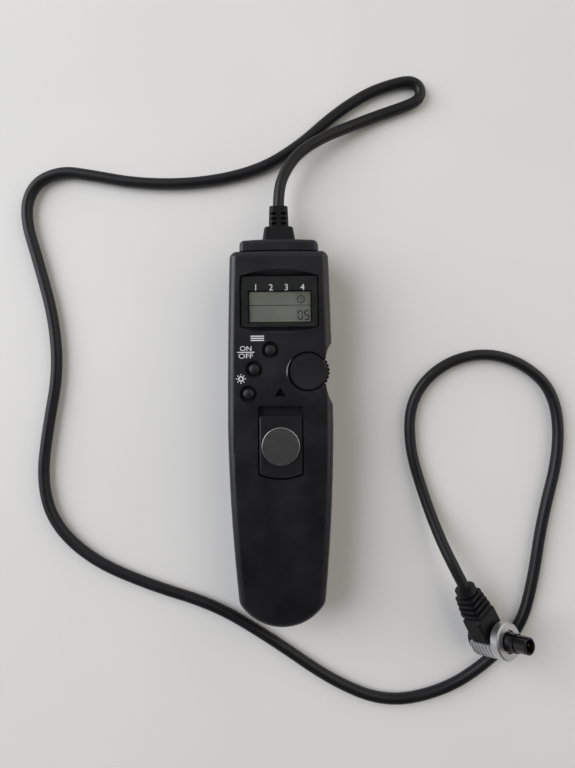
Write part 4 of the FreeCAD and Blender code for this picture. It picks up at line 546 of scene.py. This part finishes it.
LABEL_TALL, LABEL_MIDDLE, LABEL_X, LABEL_STEP = 1.65, 27.75, -11.6, 1.28
ON_WIDE, OFF_WIDE, RULE_HALF, RULE_WIDE = 3.9, 4.9, 2.9, 0.3
printed_text("start_label", "ON", (LABEL_X, LABEL_MIDDLE + LABEL_STEP), LABEL_TALL, ink_top,
             wide=ON_WIDE)
printed_text("stop_label", "OFF", (LABEL_X, LABEL_MIDDLE - LABEL_STEP), LABEL_TALL, ink_top,
             wide=OFF_WIDE)


def printed_plate(name, strips):
    """White ink on the handset's face."""
    thin_plate(name, strips, ink_top, print_ink, "casing")


def level_line(left, right, height, width):
    """A line across the handset."""
    return line([(left, height), (right, height)], width)


printed_plate("label_rule", [level_line(LABEL_X - RULE_HALF, LABEL_X + RULE_HALF, LABEL_MIDDLE,
                                        RULE_WIDE)])

# %% The signs for the list of choices and for the light
MENU_X, MENU_Y, MENU_HALF, MENU_STEP, MENU_WIDE = -7.6, 32.5, 2.3, 0.72, 0.38
printed_plate("menu_mark", [level_line(MENU_X - MENU_HALF, MENU_X + MENU_HALF,
                                       MENU_Y + row * MENU_STEP, MENU_WIDE)
                            for row in (-1, 0, 1)])

SUN, SUN_RADIUS, SUN_WIDE = (-13.35, 18.7), 0.74, 0.42
RAYS, RAY_ENDS, RAY_WIDE = 8, (1.2, 1.65), 0.34
rays = [line([(SUN[0] + reach * math.cos(turn), SUN[1] + reach * math.sin(turn))
              for reach in RAY_ENDS], RAY_WIDE)
        for turn in (2 * math.pi * step / RAYS for step in range(RAYS))]
printed_plate("light_mark", [line(circle(SUN, SUN_RADIUS), SUN_WIDE, closed=True)] + rays)

# %% [markdown]
# The engraved arrow's floor is a near-black matt plate, so it stays darker than the face round it
# however the light falls. Its plate lies on the floor of the engraving, half a millimetre down.

# %% The arrow's black floor
ARROW_HALF, ARROW_TIP, ARROW_LOW, ARROW_TALL, ARROW_DEEP = 1.95, 0.05, 12.6, 2.85, 0.5
arrow_steps = [(ARROW_HALF, ARROW_LOW), (ARROW_TIP, ARROW_LOW + ARROW_TALL)]
thin_plate("arrow_floor", [([((-half, up), (half, up)) for half, up in arrow_steps], False)],
           face_top - ARROW_DEEP + INK_HIGH, arrow_floor_black, "casing")

# %% [markdown]
# A liquid crystal segment is dark where the cell is switched on, and it lies behind the front film.
# Drawn as thin dark plates on the cell, the segments have the soft contrast of the real ones. The
# display shows a clock sign, a rule across, and a plain number.

# %% The display's segments
cell_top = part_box("lcd_panel")[1].z / MM + INK_HIGH
SEGMENT_WIDE, SEGMENT_GAP = 0.42, 0.16
SEGMENTS = {"a": ((0, 1), (1, 1)), "b": ((1, 1), (1, 0.5)), "c": ((1, 0.5), (1, 0)),
            "d": ((0, 0), (1, 0)), "e": ((0, 0.5), (0, 0)), "f": ((0, 1), (0, 0.5)),
            "g": ((0, 0.5), (1, 0.5))}
DIGITS = {"0": "abcdef", "5": "afgcd"}


def digit_strips(digit, left, low, wide, tall):
    """The lit segments of a seven-segment digit."""
    strips = []
    for key in DIGITS[digit]:
        start, end = (Vector((left + x * wide, low + y * tall)) for x, y in SEGMENTS[key])
        along = (end - start).normalized() * SEGMENT_GAP
        strips.append(line([start + along, end - along], SEGMENT_WIDE))
    return strips


def cell_plate(name, strips, material=lcd_ink):
    """A thin plate on the front of the display's cell."""
    thin_plate(name, strips, cell_top, material, "casing")


DIGIT_LOW, DIGIT_WIDE, DIGIT_TALL = 39.0, 1.4, 2.95
digits = (digit_strips("0", 6.45, DIGIT_LOW, DIGIT_WIDE, DIGIT_TALL)
          + digit_strips("5", 8.7, DIGIT_LOW, DIGIT_WIDE, DIGIT_TALL))
cell_plate("display_digits", digits)

# %% The display's rule, clock sign and pale lower edge
cell_plate("display_rule", [level_line(left=-10.5, right=11.0, height=43.9, width=0.22)])

CLOCK, CLOCK_RADIUS, CLOCK_WIDE, HAND_WIDE = (7.48, 45.96), 1.2, 0.28, 0.25
LONG_HAND, SHORT_HAND, HAND_GAP = 0.8, 0.72, 0.12
hands = [line([CLOCK, (CLOCK[0], CLOCK[1] + LONG_HAND)], HAND_WIDE),
         level_line(CLOCK[0] + HAND_GAP, CLOCK[0] + SHORT_HAND, CLOCK[1], HAND_WIDE)]
cell_plate("display_clock", [line(circle(CLOCK, CLOCK_RADIUS), CLOCK_WIDE, closed=True)] + hands)

cell_plate("display_edge", [level_line(left=-10.6, right=11.1, height=38.45, width=0.34)],
           material=cell_edge)

# %% [markdown]
# The clear cover of a display has a dark mask printed on its back, which leaves a hole for the
# cell. It is four plain strips of ink here, seen through the cover, so it looks a little lighter
# than the deep recess above it.

# %% The mask printed on the window's back
mask_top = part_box("display_window")[0].z / MM + INK_HIGH
MASK_LEFT, MASK_RIGHT, MASK_LOW, MASK_HIGH = -13.1, 13.1, 36.45, 53.8
VIEW_LEFT, VIEW_RIGHT, VIEW_LOW, VIEW_HIGH = -10.75, 11.15, 38.05, 49.0
mask_strips = [([((left, low), (right, low)), ((left, high), (right, high))], False)
               for left, right, low, high in ((MASK_LEFT, VIEW_LEFT, MASK_LOW, MASK_HIGH),
                                              (VIEW_RIGHT, MASK_RIGHT, MASK_LOW, MASK_HIGH),
                                              (VIEW_LEFT, VIEW_RIGHT, MASK_LOW, VIEW_LOW),
                                              (VIEW_LEFT, VIEW_RIGHT, VIEW_HIGH, MASK_HIGH))]
thin_plate("window_mask", mask_strips, mask_top, mask_ink, "casing")

# %% [markdown]
# A moulding never has a perfectly sharp edge. The left lip of the dial's opening and the release
# plate's left edge lean to the window, and show as fine light lines. Each is a small wedge: it lies
# on the plastic, and its slope is half way between the window and the eye, which is what makes a
# smooth surface reflect the one into the other. Each is sunk a hundredth of a millimetre.

# %% Wedges that catch the window's light
EDGE_SLOPE = math.tan(math.radians(28.0))
SUNK = 0.01


def light_edge(name, pairs, low, material, body, slope=EDGE_SLOPE, closed=False):
    """A wedge through pairs of points: its foot on one line, its crest over the other."""
    sections = []
    for foot, crest in pairs:
        rise = (Vector(crest) - Vector(foot)).length * slope
        sections.append(((*foot, low), (*crest, low + rise), (*crest, low - INK_DEEP)))
    solid_bars(name, [(sections, closed)], material, body)


OPENING, OPENING_RADIUS, LIP_WIDE, LIP_THIN = (9.5, 21.0), 6.87, 0.5, 0.04
LIP_START, LIP_TURN, LIP_STEPS = 140.0, 90.0, 32
lip = []
for step in range(LIP_STEPS + 1):
    share = step / LIP_STEPS
    turn = math.radians(LIP_START + LIP_TURN * share)
    wide = LIP_THIN + LIP_WIDE * math.sin(math.pi * share)
    lip.append(tuple((OPENING[0] + reach * math.cos(turn), OPENING[1] + reach * math.sin(turn))
                     for reach in (OPENING_RADIUS + wide, OPENING_RADIUS)))
light_edge("dial_opening_lip", lip, face_top - SUNK, polished_abs, "casing")

plate_low, plate_high = (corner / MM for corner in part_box("release_plate"))
PLATE_EDGE, PLATE_LINE, PLATE_CORNER, PLATE_TOP = 0.45, 0.14, 3.0, 0.6
light_edge("release_plate_edge",
           [((plate_low.x + PLATE_EDGE, up), (plate_low.x + PLATE_EDGE + PLATE_LINE, up))
            for up in (plate_low.y + PLATE_CORNER, plate_high.y - PLATE_TOP)],
           plate_high.z - SUNK, polished_abs, "release")

# %% [markdown]
# The release disc is turned, and its edge is broken with a fine bevel that catches the light all
# round; the bevel is a lighter steel than the disc, which paints part of its highlight. The screws at
# the back have cross recesses, drawn as dark plates on their heads: painted shade in place of the
# hollows.

# %% The disc's bevel, with part of its highlight painted
disc_low, disc_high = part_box("release_disc")
disc_centre = ((disc_low + disc_high) / 2).xy / MM
disc_radius = (disc_high.x - disc_low.x) / 2 / MM
RIM_WIDE, RIM_SLOPE, RIM_POINTS = 0.22, 1.0, 72
rim = list(zip(circle(disc_centre, disc_radius, RIM_POINTS),
               circle(disc_centre, disc_radius - RIM_WIDE, RIM_POINTS)))
# Lighter steel on the bevel: part of its highlight is painted.
light_edge("disc_edge", rim, disc_high.z / MM - SUNK, rim_steel_with_painted_highlight, "release",
           slope=RIM_SLOPE, closed=True)


# %% The screws' recesses, drawn as painted shade
def screw_places(node_name, spacing=4.0):
    """Middle and lowest height of each screw in a node, from its mesh, in millimetres."""
    groups = []
    for vertex in NODES[node_name].data.vertices:
        point = vertex.co / MM
        near = [group for group in groups if (group[0] - point).xy.length < spacing]
        if near:
            near[0].append(point)
        else:
            groups.append([point])
    return [(sum((point.x for point in group)) / len(group),
             sum((point.y for point in group)) / len(group),
             min(point.z for point in group)) for group in groups]


def cross_recess(x, y, arm=1.05, wide=0.5):
    """A cross of one long bar and two short ones."""
    return [line([(x - arm, y), (x + arm, y)], wide),
            line([(x, y + wide / 2), (x, y + arm)], wide),
            line([(x, y - wide / 2), (x, y - arm)], wide)]


# Each screw's cross recess is a dark plate: painted shade in place of the hollow.
for node_name in ("housing_screws", "battery_cover_screw"):
    places = screw_places(node_name)
    lowest = min(place[2] for place in places)
    strips = [strip for x, y, z in places for strip in cross_recess(x, y)]
    thin_plate(node_name + "_recess_painted_shade", strips, lowest + INK_DEEP, chip_epoxy_and_hollow_shade, "casing")
    print(node_name, "recesses", len(places))

# %% [markdown]
# A spring is rigid in the frame, so a button would cut through it when pressed. A copy takes the
# place of each one here and rides on the casing; its foot and length along the spring's direction are
# worked out, but the copy is not flattened.


def gives_way(name, direction, foot=None, span=None):
    """Replace a rigid spring with a copy on the casing; its reach along a direction is worked out,
    but it is not flattened. Lengths are in mm.
    """
    soft = bpy.data.objects.new(name + "_flexing", NODES[name].data.copy())
    bpy.context.scene.collection.objects.link(soft)
    reach = [direction.dot(vertex.co) / MM for vertex in soft.data.vertices]
    foot = min(reach) if foot is None else foot
    span = span or max(reach) - foot
    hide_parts(name)
    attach(soft, "casing")
    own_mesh(soft)


UP, ACROSS = Vector((0, 0, 1)), Vector((1, 0, 0))
for key in ("mode", "start_stop", "light"):
    gives_way(key + "_dome", UP)
gives_way("dial_spring", ACROSS)
gives_way("collar_spring", PLUG.to_3x3() @ UP)
block_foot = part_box("contact_block")[0].z / MM
stem_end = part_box("release_plate")[0].z / MM
for leaf in ("common_contact", "half_press_contact", "full_press_contact"):
    gives_way(leaf, UP, block_foot, stem_end - block_foot)

# %% [markdown]
# The table is a pale laminate sheet, far larger than the object, and isn't part of it. The light is
# a big soft box high on the left, as from a window, with a weaker one from the other side, and
# little light from straight above, which is why the face of the handset stays black.

# %% Table and lamps
FLOOR_HALF = 1.5
CLOUD_MM = 90.0


def build_floor():
    """A wide flat sheet with a faint unevenness of tone."""
    mesh = bpy.data.meshes.new("table_top")
    corners = [(-FLOOR_HALF, -FLOOR_HALF, 0), (FLOOR_HALF, -FLOOR_HALF, 0),
               (FLOOR_HALF, FLOOR_HALF, 0), (-FLOOR_HALF, FLOOR_HALF, 0)]
    mesh.from_pydata(corners, [], [(0, 1, 2, 3)])
    floor = bpy.data.objects.new("table_top", mesh)
    bpy.context.scene.collection.objects.link(floor)
    material, tree, shader, place = new_material("pale_table_laminate", Roughness=0.55, IOR=1.45)
    cloud = node(tree, "ShaderNodeTexNoise", {"Vector": place, "Scale": per_mm(CLOUD_MM)})
    base = ramp(tree, cloud.outputs["Fac"], 0.3, 0.7, linear("#E8E7E3"), linear("#EDECE8"))
    tree.links.new(base, shader.inputs["Base Color"])
    mesh.materials.append(material)


def soft_box(name, place, size, power, colour):
    """A square area lamp that faces the middle of the table."""
    lamp = bpy.data.lights.new(name, "AREA")
    lamp.shape = "SQUARE"
    lamp.size = size
    lamp.energy = power
    lamp.color = linear(colour)[:3]
    box = bpy.data.objects.new(name, lamp)
    box.location = place
    box.rotation_euler = Vector(place).to_track_quat("Z", "Y").to_euler()
    bpy.context.scene.collection.objects.link(box)
    print(name, power, "W from", place)


build_floor()
soft_box("window_light", place=(-1.15, 0.45, 0.92), size=1.4, power=23.5, colour="#F4F6FF")
soft_box("room_light", place=(0.95, 0.45, 0.85), size=1.6, power=7.6, colour="#FFF7EF")

# %% [markdown]
# The room's walls are softly lit, but the space straight above is dim, and so is the near side,
# because the camera and its stand keep the light off there. A black satin face turned up reflects
# exactly that dim part, so it stays black, while the walls still soften the shadows on the table.
# The height is the third number of a direction of length one, so 0.92 is 23 degrees off the top.

# %% The room
WALLS, OVERHEAD = 0.55, 0.07
NEAR_SHARE, FAR_SHARE = 0.4, 0.95
DIMMING_FROM, DIMMING_TO = 0.55, 0.92
NEAR_SIDE, FAR_SIDE = -0.5, 0.5
world = bpy.data.worlds.new("soft_room")
world.use_nodes = True
room = world.node_tree
direction = node(room, "ShaderNodeTexCoord").outputs["Generated"]
towards = node(room, "ShaderNodeSeparateXYZ", {"Vector": direction})
by_height = node(room, "ShaderNodeMapRange", {"Value": towards.outputs["Z"],
                                              "From Min": DIMMING_FROM, "From Max": DIMMING_TO,
                                              "To Min": WALLS, "To Max": OVERHEAD})
by_depth = node(room, "ShaderNodeMapRange", {"Value": towards.outputs["Y"],
                                             "From Min": NEAR_SIDE, "From Max": FAR_SIDE,
                                             "To Min": NEAR_SHARE, "To Max": FAR_SHARE})
strength = node(room, "ShaderNodeMath", {0: by_height.outputs["Result"],
                                         1: by_depth.outputs["Result"]}, operation="MULTIPLY")
background = room.nodes["Background"]
background.inputs["Color"].default_value = linear("#F1F1EE")
room.links.new(strength.outputs["Value"], background.inputs["Strength"])
bpy.context.scene.world = world
bpy.context.scene.view_settings.view_transform = "Standard"
print("room from", WALLS, "at the walls to", OVERHEAD, "overhead")
